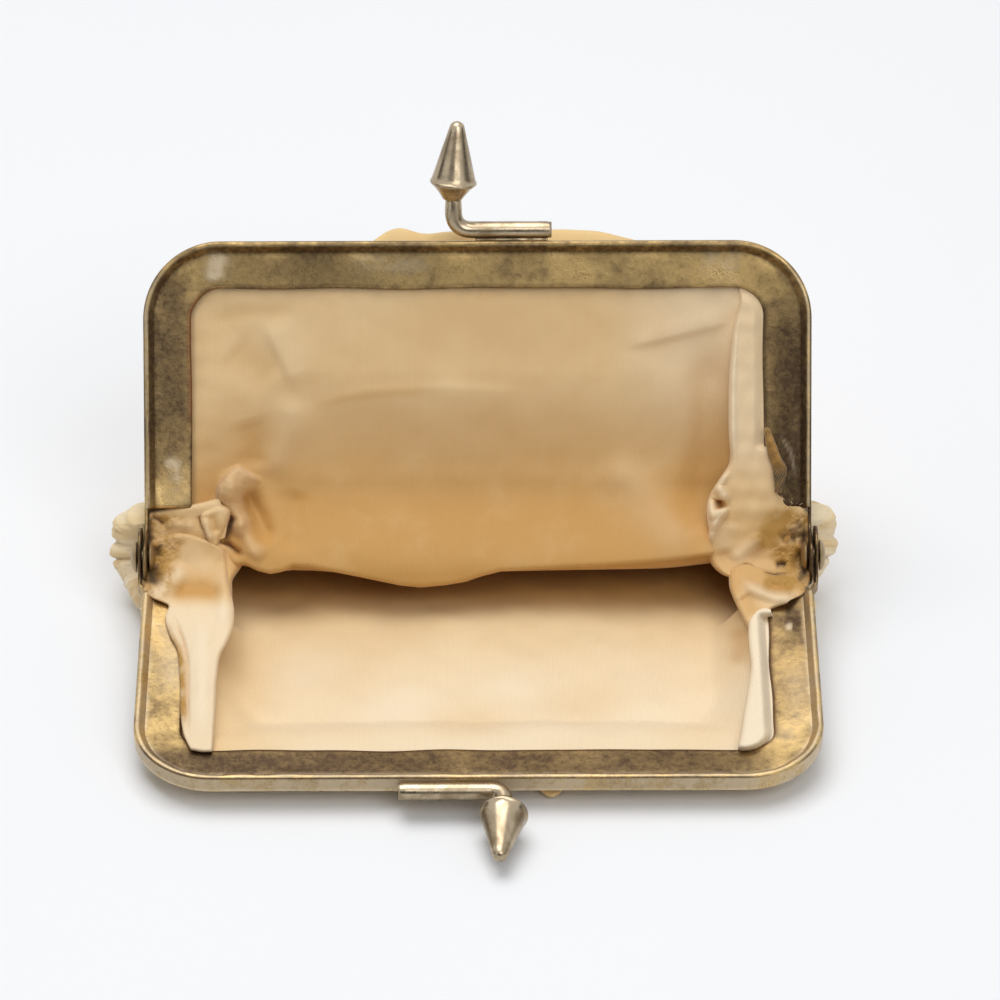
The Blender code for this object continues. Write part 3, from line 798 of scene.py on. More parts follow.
def back_lining(rows=230, columns=400, tuck_rows=60):
    """The back panel of the lining: out of the channel, hollow in the middle, folded under at the hinge."""
    share = np.linspace(-1, 1, columns)
    edge_x, edge_v = flat_place(BACK, -0.6, *np.array(BACK_FOLD_EDGE, float).T)
    base_x = share * (HALF_WIDTH - CLOTH_EDGE)
    edge = np.interp(base_x, edge_x, edge_v)
    down = np.linspace(0, 1, rows)[:, None]
    top = BAR_REACH - CLOTH_EDGE
    reach = mix(top, edge, down)
    x = share * side_place(reach)
    inset = corner_distance(x, reach)
    level = lining_level(inset)
    inward = rise(FLANGE_REACH - 1, FLANGE_REACH + 9, inset)
    hollow = -0.5 * rise(36, 28, reach) - 3.3 * rise(24, 11, reach) * (0.75 + 0.25 * np.cos(x / 14))
    forward = 4.9 * rise(9, -2.4, reach)
    level = level + inward * (hollow + forward * rise(43, 30, np.abs(x)))
    world = on_half(BACK, x, reach, level)
    px, py = pixel_of(world)
    inside = rise(FLANGE_REACH + 0.2, FLANGE_REACH + 3, inset)
    level = level + inside * relief(px, py, BACK_FOLDS) + puckers(x, reach, inset, 0.08, 5)
    level = level + inside * (0.12 * ripples(x, reach, 18, 11) + 0.03 * ripples(x, reach, 6, 12))
    world = on_half(BACK, x, reach, level)
    start = beside(world[-1])
    middle = [(3.0, 6.4), (14.0, 6.6), (26.0, 6.2), (35.0, 5.0), (39.5, 4.0)]
    sides = [(4.0, 6.9), (9.0, 5.8), (18.0, 4.9), (32.0, 4.2), (39.5, 3.9)]
    to_side = rise(0.55, 0.95, np.abs(share))[:, None]
    route = [start, start + np.array((0.05, -0.45)), start + np.array((0.75, -0.75))]
    route += side_views(middle, sides, to_side)
    shares = np.linspace(0, 1, tuck_rows)[1:] ** 1.7
    under = curve_through(np.array(route), shares)
    depth, height = under[..., 0], under[..., 1]
    across = mix(x[-1], share * side_place(-depth), rise(0, 12, depth))
    across = across * (1 - LINING_TAPER * rise(6, 15, depth))
    world = np.vstack([world, behind(across, depth, height)])
    px, py = pixel_of(world)
    # Painted shade: the back panel grows darker towards its lower part and along two creases, over a light
    # overall ageing
    stain = 0.15 + 0.85 * rise(380, 520, py)
    stain = stain + 0.6 * stroke(px, py, ((745, 318), (700, 327), (640, 338)), 10, 14)
    stain = stain + 0.35 * stroke(px, py, ((312, 408), (345, 397), (390, 392), (440, 390)), 5, 8)
    inset = corner_distance(world[..., 0], np.vstack([reach, -depth]))
    # A painted shadow line where the lining comes out from under the flange's edge, laid with the grime
    # colour
    edge_line = gauss(inset - EDGE_LINE, 0.35)
    # Painted highlight on the ridges and painted shade in the hollows of the folds, and painted light on the
    # upper right of the panel
    bent = np.clip(relief(px, py, BACK_FOLDS), -1, 1)
    pale = 0.45 * rise(590, 700, px) * rise(500, 340, py) + 0.2 * np.maximum(bent, 0)
    stain = stain + 0.6 * np.maximum(-bent, 0)
    marks = cloth_marks(base_x, -run_down(world), stain, 0.35 * edge_line, pale=pale)
    return sheet_mesh("back_lining", world, marks)


def front_lining(rows=260, columns=340):
    """The front panel of the lining: in its channel, down on the table side and back into the bag."""
    share = np.linspace(-1, 1, columns)
    reach = np.concatenate([
        np.linspace(BAR_REACH - CLOTH_EDGE, 30, 60)[:-1],
        np.linspace(30, -12, rows - 110),
        np.linspace(-12, -39.5, 52)[1:],
    ])[:, None]
    x = share * side_place(reach) * (1 - LINING_TAPER * rise(-4, -14, reach))
    inset = np.where(reach > 0, corner_distance(x, reach), side_place(reach) - np.abs(x) + CLOTH_EDGE)
    in_channel = rise(1.0, LEG_START, reach)
    floor = above_table(1.35 + 0.5 * rise(20, 38, reach), reach)
    seam = above_table(seam_height(-reach) + 0.5, reach)
    rim = mix(seam, lining_level(inset), in_channel)
    roll = 0.25 * in_channel * gauss(inset - 8.2, 1.9) * rise(BAR_REACH - 6, BAR_REACH - 14, reach)
    slope_end = mix(9, mix(13.5, 21, rise(20, 34, reach)), in_channel)
    inward = rise(mix(CLOTH_EDGE, FLANGE_REACH + 0.6, in_channel), slope_end, inset)
    level = mix(rim, floor, inward * rise(-END_SEAM, -35, reach)) + roll
    level = level + rise(6, 12, inset) * (0.18 * ripples(x, reach, 15, 21) + 0.05 * ripples(x, reach, 5, 22))
    level = level + puckers(x, reach, inset, 0.07, 6) * in_channel
    world = on_half(FRONT, x, reach, level)
    px, py = pixel_of(world)
    # Painted shade: the front panel darkens towards the slit under the back lining's fold and darker still
    # deep in it, with a painted shadow beside the right strip
    stain = rise(622, 586, py) * np.ones_like(level)
    stain = stain + 0.8 * stroke(px, py, ((735, 625), (742, 645), (735, 670)), 10, 12)
    # A painted shadow line along the flange's edge, laid with the grime colour
    edge_line = gauss(inset - EDGE_LINE, 0.35) * in_channel
    deep = 0.25 * rise(604, 580, py)
    # Painted light: the middle of the front panel, which faces the overhead lamp, is painted pale
    pale = 0.75 * rise(605, 700, py) * rise(205, 330, px) * (0.85 + 0.2 * ripples(x, reach, 14, 23))
    marks = cloth_marks(x, reach, stain, np.maximum(0.3 * edge_line, deep), pale=pale)
    return sheet_mesh("front_lining", world, marks, flip=True)


# The gathered lining at the hinges, as overlapping folds. Each fold: rows of pixels from its top down,
# how far it lies over the cloth behind, how far its top, right, bottom and left edges turn back, its own
# ridges, the rows (pixels down) where it lies over the flange, how aged it is, and which part of an edge
# is frayed.
LEFT_FOLDS = (
    ((
        ((150, 512), (175, 507), (200, 503), (219, 498)),
        ((149, 522), (175, 518), (202, 514), (223, 508)),
        ((150, 534), (178, 532), (204, 528), (227, 521)),
        ((152, 550), (180, 547), (206, 543), (225, 537)),
    ), 0.8, (1.0, 0, 0, 0), (
        (((200, 513), (203, 521), (207, 530)), 0.5, 0.5, -0.6),
        (((165, 520), (180, 524), (196, 526)), 0.6, 0.6, 0.35),
    ), (500, 620), 0.2, ("top", 0.15, 0.95)),
    ((
        ((204, 511), (211, 508), (219, 503)),
        ((201.5, 516), (215, 512), (229, 509)),
        ((202.5, 523), (215, 520), (228.5, 518)),
        ((205.5, 530), (214, 529), (225, 528)),
        ((208.5, 538), (213, 538), (220, 538)),
        ((212, 544), (214.5, 545), (217, 544.5)),
    ), 1.4, (1.3, 1.8, 0.4, 0.5), (
        (((204, 516), (207, 530), (213, 542)), 0.4, 0.4, 0.45),
        (((210, 512), (214, 522), (217, 534)), 0.6, 0.6, -0.4),
    ), (500, 620), 0.15, ""),
    ((
        ((214, 541), (224, 545), (238, 553)),
        ((218, 550), (228, 554), (241.5, 560)),
        ((222, 562), (231, 565), (240, 566)),
        ((222, 575), (228, 577), (231.5, 579)),
        ((222, 590), (227, 590), (231, 590)),
        ((220, 606), (226, 606), (231, 606)),
    ), 0.9, (1.0, 2.6, 0, 0), (), (500, 620), 0.25, ""),
    ((
        ((150, 541), (168, 535), (184, 533.5), (207, 540.5), (223, 549.5)),
        ((146, 552), (168, 549), (190, 548), (211, 551), (226, 558)),
        ((143, 572), (166, 568), (190, 566), (212, 568), (227, 574)),
        ((143, 588), (160, 586), (184, 583), (210, 585), (229, 589)),
        ((152, 595.5), (167, 597), (188, 597), (211, 600), (232, 602)),
        ((169, 604), (184, 608), (198, 611), (214, 613), (233, 614)),
        ((166, 617), (183, 621), (199, 624), (216, 626), (231.5, 627)),
        ((170, 633), (187, 637), (201, 639), (214, 641), (226, 641)),
        ((178, 650), (190, 653), (200, 656), (210, 656), (218.5, 656)),
        ((180.5, 680), (191, 680), (200, 680), (208, 680), (215, 680)),
        ((181, 710), (191, 710), (200, 710), (207, 710), (213.5, 710)),
        ((184, 732), (192, 732), (200, 732), (207, 732), (212, 732)),
        ((191, 748), (196, 749), (201, 750), (206, 750), (211, 750)),
    ), 1.6, (0.9, 1.6, 0.5, 0.45), (
        (((144, 591), (155, 590), (166, 583), (176, 573), (186, 562)), 1.3, 0.8, 0.9),
        (((168, 598), (184, 590), (200, 589), (214, 594), (226, 600)), 1.5, 1.5, -0.8),
        (((190, 612), (201, 630), (202, 660), (200, 740)), 1.3, 1.3, 0.5),
        (((170, 608), (176, 622), (183, 640), (187, 660), (187, 740)), 0.3, 0.3, -0.5),
        (((216, 560), (222, 580), (224, 605), (220, 628)), 0.9, 0.9, 0.35),
        (((176, 552), (196, 560), (214, 575)), 1.6, 1.6, 0.3),
    ), (500, 760), 0.1, ("right", 0, 0.15)),
)
RIGHT_FOLDS = (
    ((
        ((757, 613), (760, 611), (765, 610), (770, 611)),
        ((750.5, 621), (757, 620), (765, 619), (773, 620)),
        ((749, 633), (757, 633), (766, 633), (775, 633)),
        ((750, 650), (757, 650), (766, 650), (775.5, 650)),
        ((751.5, 668), (758, 668), (767, 668), (776, 668)),
        ((748, 692), (757, 692), (767, 692), (777, 692)),
        ((744, 715), (755, 716), (766, 716), (777, 716)),
        ((741, 735), (752, 736), (764, 738), (776, 738)),
        ((738, 750), (748, 752), (759, 752), (768, 751)),
    ), 1.9, (0.8, 0, 0, 1.0), (
        (((760, 612), (761, 650), (761, 700), (754, 738)), 1.4, 1.4, 0.4),
    ), (500, 612), 0, ""),
    ((
        ((728, 572), (745, 566), (757, 569), (780, 574), (810, 577)),
        ((729.5, 578), (745, 576), (760, 580), (782, 583), (809, 583)),
        ((730.5, 589), (746, 590), (762, 592), (784, 591), (806, 589)),
        ((736, 603), (750, 603), (765, 601), (784, 598), (802, 595)),
        ((743, 617), (752, 612), (762, 607), (776, 603), (792, 600)),
        ((750, 631), (756, 623), (763, 614), (773, 608), (784, 604)),
    ), 1.5, (0.5, 0, 1.0, 2.0), (
        (((738, 583), (748, 587), (759, 592), (776, 598), (790, 598), (802, 595)), 0.9, 0.6, 0.9),
        (((740, 596), (748, 606), (754, 618)), 1.2, 1.2, -0.5),
        (((760, 585), (775, 588), (792, 590)), 0.6, 0.6, -0.5),
    ), (500, 616), 0.3, ""),
    ((
        ((739, 282), (760, 282), (776, 290)),
        ((741, 300), (762, 300), (782, 300)),
        ((735, 330), (758, 330), (782, 330)),
        ((730.5, 380), (756, 380), (783, 380)),
        ((730, 422), (752, 422), (774, 422)),
        ((730.5, 440), (750, 440), (767, 440)),
        ((731.5, 455), (752, 455), (768.5, 455)),
        ((729, 467), (752, 468), (774, 469)),
        ((720, 481), (750, 482), (777, 483)),
        ((711, 495.5), (749, 496), (779, 496)),
        ((708, 508), (750, 509), (796, 504)),
        ((708.5, 521), (754, 522), (808, 516)),
        ((710, 532), (756, 533), (809, 530)),
        ((707.5, 545), (756, 546), (811, 545)),
        ((708.5, 556), (756, 558), (811, 558)),
        ((714, 567), (757, 568), (811, 568)),
        ((724, 575), (757, 575), (811, 574)),
        ((737, 578), (760, 577), (811, 580)),
    ), 1.0, (0.4, 0, 1.0, 2.4), (
        (((735, 300), (733, 380), (733, 450), (733, 466)), 1.2, 0.5, 0.5),
        (((728, 469), (717, 486), (722, 494), (729, 505)), 0.6, 0.6, 0.9),
        (((711, 498), (710, 508), (712, 522)), 0.6, 0.6, 0.7),
        (((719, 498), (719, 505), (721, 512)), 0.65, 0.65, -2.2),
        (((729, 506), (719, 518), (712, 530), (709, 545)), 2.0, 0.45, 1.3),
        (((764, 534), (742, 553), (729, 562)), 0.8, 1.0, 0.6),
        (((728, 520), (722, 540), (726, 556)), 1.5, 1.5, 0.4),
        (((730, 574), (737, 573), (746, 568), (756, 572)), 0.4, 0.4, -0.9),
    ), (452, 600), 0.15, ("right", 0.53, 0.66)),
    ((
        ((765, 430), (767.5, 429), (770, 431)),
        ((767, 443), (771, 442), (775, 445)),
        ((769, 455), (775, 455), (780, 458)),
        ((773, 467), (780, 467), (786, 470)),
        ((775, 479), (779, 479), (784, 481)),
        ((776, 493), (778, 494), (780, 494)),
    ), 2.0, (0.5, 0.2, 0, 0.5), (
        (((769, 434), (775, 452), (784, 472)), 0.4, 0.4, 0.5),
    ), (420, 600), 1.6, ""),
)


# Hollows dug into the old glue beside each ear, and gaps there, darkened with painted shade
GLUE_HOLLOWS = {
    -1: (
        (((147, 510), (148.5, 545), (149, 590)), 0.45, 0.5, 1.0),
        (((150, 514), (158, 518), (166, 525)), 0.3, 0.3, 0.6),
        (((155, 544), (158, 551), (158, 558)), 0.6, 0.6, 0.75),
        (((152, 566), (156, 575), (153, 587)), 0.8, 0.8, 0.8),
    ),
    1: (
        (((781, 544), (788, 539), (798, 540)), 0.8, 0.8, 0.95),
        (((774, 567), (781, 565), (788, 566)), 0.45, 0.4, 0.95),
        (((792, 572), (798, 560), (801, 548)), 0.9, 0.7, 0.55),
        (((761, 573), (774, 576), (790, 575)), 0.2, 0.2, 0.6),
        (((803, 520), (805, 550), (804, 592)), 0.5, 0.4, 1.0),
    ),
}


# Yellow-brown patches of old glue: points, widths and strength
GLUE_STAINS = {
    -1: (
        (((167, 616), (170, 632), (178, 648), (181, 662), (182, 690), (183, 735)), 0.5, 0.4, 0.85),
        (((151, 538), (152, 566), (150, 588)), 1.6, 1.2, 0.9),
        (((156, 548), (160, 560), (158, 572)), 1.1, 1.1, 0.5),
        (((160, 512), (176, 519), (192, 522)), 1.0, 1.0, 0.25),
    ),
    1: (
        (((768, 556), (767, 540), (776, 526), (794, 521)), 1.4, 1.8, 1.1),
        (((782, 546), (786, 556), (782, 568)), 2.0, 2.0, 0.9),
        (((760, 582), (776, 583), (798, 586)), 1.1, 1.0, 1.0),
        (((779, 508), (795, 514), (804, 524)), 0.8, 0.8, 0.5),
    ),
}


def fractal(u, v, size, seed, octaves=4):
    """Uneven noise with finer and finer lumps, between about -1 and 1."""
    u, v = np.broadcast_arrays(u, v)
    flat = [
        noise_at.fractal(Vector((a / size, b / size, seed * 7.3)), 0.7, 2.1, octaves)
        for a, b in zip(np.ravel(u).tolist(), np.ravel(v).tolist())
    ]
    return np.reshape(flat, np.shape(u))


# How deep the gathers lie below both faces, and how sharply they bend between them
GATHER_LEVEL = -2.1
BEND_SHARPNESS = 1.4


def fold(name, side, spec, seed):
    """One fold of gathered lining at a hinge."""
    outline, lift, curls, ridges, over_flange, aged, frayed = spec
    rows = np.array([list(row) for row in outline], float)
    height = np.abs(rows[-1, :, 1] - rows[0, :, 1]).max()
    width = np.abs(rows[:, -1, 0] - rows[:, 0, 0]).max()
    down = np.linspace(0, 1, int(height / 0.9) + 2)
    over = np.linspace(0, 1, int(width / 0.9) + 2)
    grid = curve_through(rows, down)
    grid = curve_through(np.moveaxis(grid, 1, 0), over)
    px, py = grid.T
    back = depth_on(BACK, GATHER_LEVEL, px, py)
    front = depth_on(FRONT, GATHER_LEVEL, px, py)
    depth = np.logaddexp(back * BEND_SHARPNESS, front * BEND_SHARPNESS) / BEND_SHARPNESS
    place = seen(px, py, depth) - HINGE
    out = np.abs(place[..., 0])
    covered = np.zeros(np.shape(px))
    for half in (BACK, FRONT):
        reach = place @ LAYOUTS[half][0]
        near_flange = rise(7.6, 6.3, corner_distance(place[..., 0], reach))
        covered = np.maximum(covered, rise(4.6, 6.6, reach) * near_flange)
    first, last = over_flange
    covered = covered * (1 - rise(first - 8, first, py) * rise(last + 8, last, py))
    turned_back = 0
    from_edges = down[:, None] * height, (1 - over) * width, (1 - down[:, None]) * height, over * width
    for amount, distance in zip(curls, from_edges):
        roll = 0.35 + 0.55 * amount
        past = np.clip(1 - distance * MM_PER_PIXEL / roll, 0, 1)
        turned_back = turned_back + amount * (1 - np.sqrt(1 - past ** 2))
    shaped = relief(px, py, ridges)
    fuller = mix(1, 1.45, rise(560, 600, py))
    lifted = (lift + shaped) * fuller + 0.06 * ripples(px, py, 20, seed)
    depth = depth + mix(lifted, 0.3 * fuller, covered) - turned_back * (1 - covered)
    frame_side = rise(38.6, 40.8, out + 1.3 * ripples(py, px * 0, 23, seed + 1))
    hinge_zone = rise(505, 522, py) * rise(604, 588, py)
    sticky = frame_side * hinge_zone
    along, across = px * 0.77 - py * 0.64, py * 0.77 + px * 0.64
    fibres = fractal(along * 0.3, across, 7, seed)
    dug = relief(px, py, GLUE_HOLLOWS[side])
    depth = depth + sticky * (0.2 * fibres + 0.25 * fractal(px, py, 16, seed + 5)) - 1.1 * np.clip(dug, 0, 1)
    world = seen(px, py, depth)
    smear = rise(37.8, 40.6, out + 1.6 * fractal(px, py, 14, seed + 4)) * hinge_zone
    glue = np.clip(smear * (0.45 + 0.9 * fractal(px, py, 12, seed + 2)), 0, 1)
    glue = glue + relief(px, py, GLUE_STAINS[side]) * (1.1 + 0.5 * fractal(along * 0.5, across, 9, seed + 7))
    grime = smear * rise(0.15, 0.6, fractal(along * 0.5, across, 13, seed + 3) + 0.3 * (out - 41.4)) * 0.7
    # Painted shade in the dug hollows and gaps beside the ear, over the grime in the glue
    grime = np.maximum(grime, dug * (0.85 + 0.5 * fractal(px, py, 9, seed + 8)))
    flake = rise(1, 1.5, aged)
    glue = np.maximum(glue, 0.9 * flake)
    flaked = 0.5 + 0.45 * rise(456, 478, py) + 0.35 * fractal(px, py, 14, seed + 6)
    grime = np.maximum(grime, flake * flaked)
    # Besides ageing near the hinge, the stain lays painted shade in the hollows of the fold's ridges; the
    # pale mark is painted light on the lit strips below the slit and high up, and painted highlight on the
    # ridges
    stain = aged + (0.25 + 0.2 * rise(520, 560, py)) * hinge_zone + 0.75 * np.clip(-shaped, 0, 1)
    pale = (1 - np.clip(aged * 4, 0, 1)) * rise(596, 612, py) + 0.5 * np.clip(shaped, 0, 1) * (1 - flake)
    pale = pale + 0.4 * rise(500, 440, py) * (1 - flake)
    tilt = math.radians(24 if side > 0 else -18)
    run, slant = (py - HINGE_PIXEL[1]) * MM_PER_PIXEL, (px - HINGE_PIXEL[0]) * MM_PER_PIXEL
    marks = cloth_marks(
        slant * math.cos(tilt) + run * math.sin(tilt), run * math.cos(tilt) - slant * math.sin(tilt),
        stain, grime, glue, pale)
    cloth = thicken(sheet_mesh(name, world, marks), LINING_CLOTH)
    if not frayed:
        return cloth
    where, start, end = frayed
    edge, inside = (world[0], world[3]) if where == "top" else (world[:, -1], world[:, -4])
    torn = slice(int(start * len(edge)), int(end * len(edge)))
    return joined(name, [cloth, *threads(name, edge[torn], inside[torn], seed)])


def threads(name, edge, inside, seed, count=34):
    """Loose threads that stand off a torn edge; they start inside the cloth."""
    draw = np.random.default_rng(seed)
    for place in draw.integers(0, len(edge), count):
        away = edge[place] - inside[place]
        away = away / max(np.linalg.norm(away), 1e-6)
        length = draw.uniform(0.25, 0.9)
        bends = draw.normal(0, 0.45, (2, 3))
        way = np.linspace(0, 1, 6)[:, None]
        route = edge[place] - 0.25 * away + length * way * (away + bends[0] * way + bends[1] * way ** 2)
        route = route + (way - 0.4) * 0.25 * TOWARDS_VIEW
        route[:, 2] = np.maximum(route[:, 2], 0.2)
        strand = tube(name, route, np.linspace(0.055, 0.03, 6), 5)
        set_even_marks(strand, stain=0.2, grime=0, glue=0, pale=0.4)
        yield strand


def gusset(name, side, folds):
    """The gathered lining at one hinge: its folds joined as one piece."""
    seed = 100 * (2 + side)
    return joined(name, [fold(name, side, spec, seed + 7 * place) for place, spec in enumerate(folds)])


def outward(x, reach):
    """Direction from a place in the flat layout straight out to the frame's U."""
    across, up = from_corner(x, reach)
    size = np.maximum(np.hypot(across, up), 1e-6)
    corner = (across > 0) & (up > 0)
    out_x = np.where(corner, across / size, np.where(across > up, 1.0, 0.0)) * np.sign(x)
    out_reach = np.where(corner, up / size, np.where(across > up, 0.0, 1.0))
    return out_x, out_reach


def puffed(x, reach, inset, level, amount):
    """Cloth that comes out round the free edge of the outer flange and swells back over it."""
    past = inset - FLANGE_REACH
    out = amount * 10.9 * rise(0.7, 3.4, past) * rise(9.5, 3.2, past)
    drop = 1.7 * rise(-0.2, 0.7, past) + (1.2 + 2.4 * amount) * rise(0.7, 4.5, past)
    out_x, out_reach = outward(x, reach)
    return x + out_x * out, reach + out_reach * out, level - drop


def back_bag(rows=150, columns=300, lower_rows=130):
    """The back outer cloth, which swells behind its channel, then lies over the bag to the end seam."""
    share = np.sin(np.linspace(-1, 1, columns) * math.pi / 2)
    top = BAR_REACH - CLOTH_EDGE
    reach = np.concatenate([np.linspace(top, 26, rows - 50)[:-1], np.linspace(26, 5.5, 51)])[:, None]
    x = share * side_place(reach)
    inset = corner_distance(x, reach)
    level = lining_level(inset, True)
    crest = rise(-21.5, -9, x) * rise(33, 15, x)
    amount = mix(0.25, mix(0.5, 0.94, crest), rise(30, 20, np.abs(x)) * rise(22, 31, reach))
    amount = amount * (1 + 0.03 * ripples(x, reach * 0, 9, 61))
    out_x, out_reach, level = puffed(x, reach, inset, level, np.clip(amount, 0, 1))
    middle = rise(FLANGE_REACH + 3, FLANGE_REACH + 16, inset)
    level = level - 1.6 * middle * rise(2, 14, reach)
    gather = rise(FLANGE_REACH, FLANGE_REACH + 2, inset) * gauss(inset - FLANGE_REACH, 13)
    run = np.where(np.abs(x) > HALF_WIDTH - CORNER_RADIUS, reach + 30, np.abs(x)) * np.sign(x)
    level = level + 0.55 * gather * ripples(run, inset * 0.12, 4.2, 62)
    level = level + 0.6 * middle * ripples(x + 0.2 * reach, reach * 0.3, 8, 63)
    upper = on_half(BACK, out_x, out_reach, level)
    start = beside(upper[-1])
    middle_route = [(13.6, 9.9), (24.0, 9.8), (34.0, 7.8), (42.0, 3.4)]
    side_route = [(8.6, 10.4), (11.2, 7.9), (19.2, 6.5), (32.0, 5.3), (42.0, 3.4)]
    side_route = curve_through(side_route, np.linspace(0, 1, len(middle_route)))
    to_side = rise(0.45, 1, np.abs(share))[:, None]
    route = [start] + side_views(middle_route, side_route, to_side)
    shares = np.linspace(0, 1, lower_rows)[1:]
    lower = curve_through(np.array(route), shares)
    depth, height = lower[..., 0], lower[..., 1]
    width = side_place(-depth, 2.5)
    across = mix(upper[-1, :, 0] - HINGE[0], share * width, rise(0, 10, depth - start[:, 0]))
    swell = np.sin(np.clip(shares, 0, 1) * math.pi)[:, None] * (1 - np.abs(share) ** 4)
    creases = 0.9 * np.cos(math.tau * (across - 0.35 * depth) / 26)
    creases = creases + 0.2 * ripples(across, depth * 0.25, 9, 64)
    creases = creases + 0.15 * ripples(across * 0.5, depth, 8, 65)
    from_side = gauss((1 - np.abs(share)) * BAG_HALF, 7)
    creases = creases + 0.5 * from_side * ripples(depth, across * 0, 4.0, 66)
    end_gather = gauss(END_SEAM - depth, 6)
    creases = creases + 0.35 * end_gather * ripples(across, depth * 0, 5.0, 67)
    height = height + swell * creases
    past_side = np.clip((np.abs(share) - 0.86) / 0.14, 0, 1)
    to_seam = (1 - np.sqrt(1 - past_side ** 2)) * rise(6, 14, depth)
    height = mix(height, seam_height(depth) + OUTER_CLOTH, to_seam)
    world = np.vstack([upper, behind(across, depth, height)])
    seam = 0.5 * rise(0.955, 0.99, np.abs(share))
    marks = cloth_marks(share * BAG_HALF, -run_down(world), 0.3, seam * 0.4)
    return sheet_mesh("back_bag_cloth", world, marks)


def front_bag(rows=150, columns=260):
    """The outer cloth of the front half, which lies on the table and runs back to the end seam."""
    share = np.linspace(-1, 1, columns)
    reach = np.concatenate([
        np.linspace(BAR_REACH - CLOTH_EDGE, 30, 60)[:-1], np.linspace(30, -END_SEAM, rows),
    ])[:, None]
    x = share * side_place(reach, 2.5)
    inset = np.where(reach > 2, corner_distance(x, reach), side_place(reach, 2.5) - np.abs(x) + CLOTH_EDGE)
    in_channel = rise(1.0, LEG_START, reach)
    floor = above_table(0.35 + 0.12 * (1 + ripples(x, reach, 9, 72)), reach)
    seam = above_table(seam_height(-reach), reach)
    rim = mix(seam, lining_level(inset, True), in_channel)
    inward = rise(mix(CLOTH_EDGE, FLANGE_REACH, in_channel), mix(9.5, 12.5, in_channel), inset)
    level = mix(rim, floor, inward * rise(-END_SEAM, -35.5, reach))
    past = inset - FLANGE_REACH
    peeking = gauss(x - 9, 3.2) + 0.5 * gauss(x + 16, 5)
    by_bar = rise(BAR_REACH - CORNER_RADIUS, BAR_REACH - 9, reach)
    out = 7.9 * peeking * rise(0.4, 3.2, past) * rise(9.5, 3.4, past) * by_bar
    world = on_half(FRONT, x, reach + out, level)
    marks = cloth_marks(share * BAG_HALF, -run_down(world), 0.3)
    return sheet_mesh("front_bag_cloth", world, marks, flip=True)


# Outlines of the gathered corners beside the hinges, in pixels from the top down
LOBE_OUTLINES = {
    -1: (
        (141, 497), (135, 506), (123, 520), (112.5, 528), (111.5, 540), (114.5, 555), (115, 562),
        (109, 568), (109, 578), (113.5, 589.5), (122.5, 605), (128, 614), (136, 622),
    ),
    1: (
        (810, 501), (818, 506), (826.5, 516.5), (834, 526.5), (837.5, 540), (834.5, 549), (831, 554),
        (837, 560), (839.5, 565), (836.5, 573), (831, 583), (823.5, 591), (818, 598.5), (812, 603),
    ),
}
# Radius of each about the hinge axis, and the turn from which its outline is laid round
LOBE_RADIUS = {-1: 8.6, 1: 7.7}
LOBE_TURN = math.radians(75.638148)


def hinge_gather(name, side, columns=90, rows=260):
    """The bag's gathered corner that swells out beside a hinge, pinched where its side seam ends."""
    first, last = -143, 30
    degrees = np.linspace(first, last, rows)
    turn = np.radians(degrees)[:, None]
    pinch = math.radians(-37)
    px, py = np.array(LOBE_OUTLINES[side]).T
    height = (HINGE_PIXEL[1] - py) * MM_PER_PIXEL
    seen_turn = LOBE_TURN - np.arccos(np.clip(height / LOBE_RADIUS[side], -1, 1))
    out = (px - HINGE_PIXEL[0]) * MM_PER_PIXEL * side - HALF_WIDTH + GAP
    swell = np.interp(turn[:, 0], seen_turn[::-1], out[::-1], left=0.4, right=0.2)
    blur = gauss(np.linspace(-2, 2, 17), 1)
    swell = np.convolve(np.pad(swell, 8, "edge"), blur / blur.sum(), "valid")[:, None]
    swell = swell - 0.9 * gauss(turn - pinch, 0.06)
    ends = (rise(first, first + 11, degrees) * rise(last, last - 6, degrees))[:, None]
    swell = np.maximum(swell * ends, -0.4)
    share = np.linspace(0, 1, columns)
    radius, depth_in, weight = curve_through(np.transpose([
        (4.5, 4.7, 5.6, 7.2, 8.3, 9.0, 9.0),
        (-2.4, -0.6, 0.0, 0.0, -1.6, -4.5, -9.0),
        (0, 0.35, 0.85, 1.0, 0.7, 0.15, 0.0),
    ]), share).T
    x = HALF_WIDTH - GAP + depth_in + weight * swell
    wrinkles = fractal(turn * 6 + 3 * share, share * 5 - 2 * turn, 2.2, 85 + side, 2)
    radius = radius + weight * 0.5 * wrinkles + weight * 0.3 * fractal(turn * 7, share * 7, 1.1, 83 + side, 3)
    x = x + weight * 0.35 * fractal(turn * 6 - 3 * share, share * 6 + 2 * turn, 2.2, 87 + side, 2)
    x = x + weight * 0.25 * fractal(turn * 7, share * 7, 1.0, 89 + side, 3)
    floor = (HINGE[2] - 0.5) / np.maximum(-np.sin(turn), 0.05)
    radius = np.where(np.sin(turn) < 0, np.minimum(radius, floor), radius)
    y = radius * np.cos(turn)
    z = radius * np.sin(turn)
    world = HINGE + np.stack([np.broadcast_to(side * x, y.shape), y, z], -1)
    # Painted shade in the wrinkles' hollows, painted highlight on their crests, an overall painted light that
    # makes the corners pale, and a painted shadow line at the pinch
    stain = 0.02 + 0.3 * rise(0.25, -0.35, wrinkles)
    pale = 0.25 + 0.45 * rise(-0.3, 0.25, wrinkles)
    marks = cloth_marks(radius * 1.4, turn * 7.5, stain, 0.5 * gauss(turn - pinch, 0.05), pale=pale)
    return sheet_mesh(name, world, marks, flip=side < 0)


# Settings a user would change

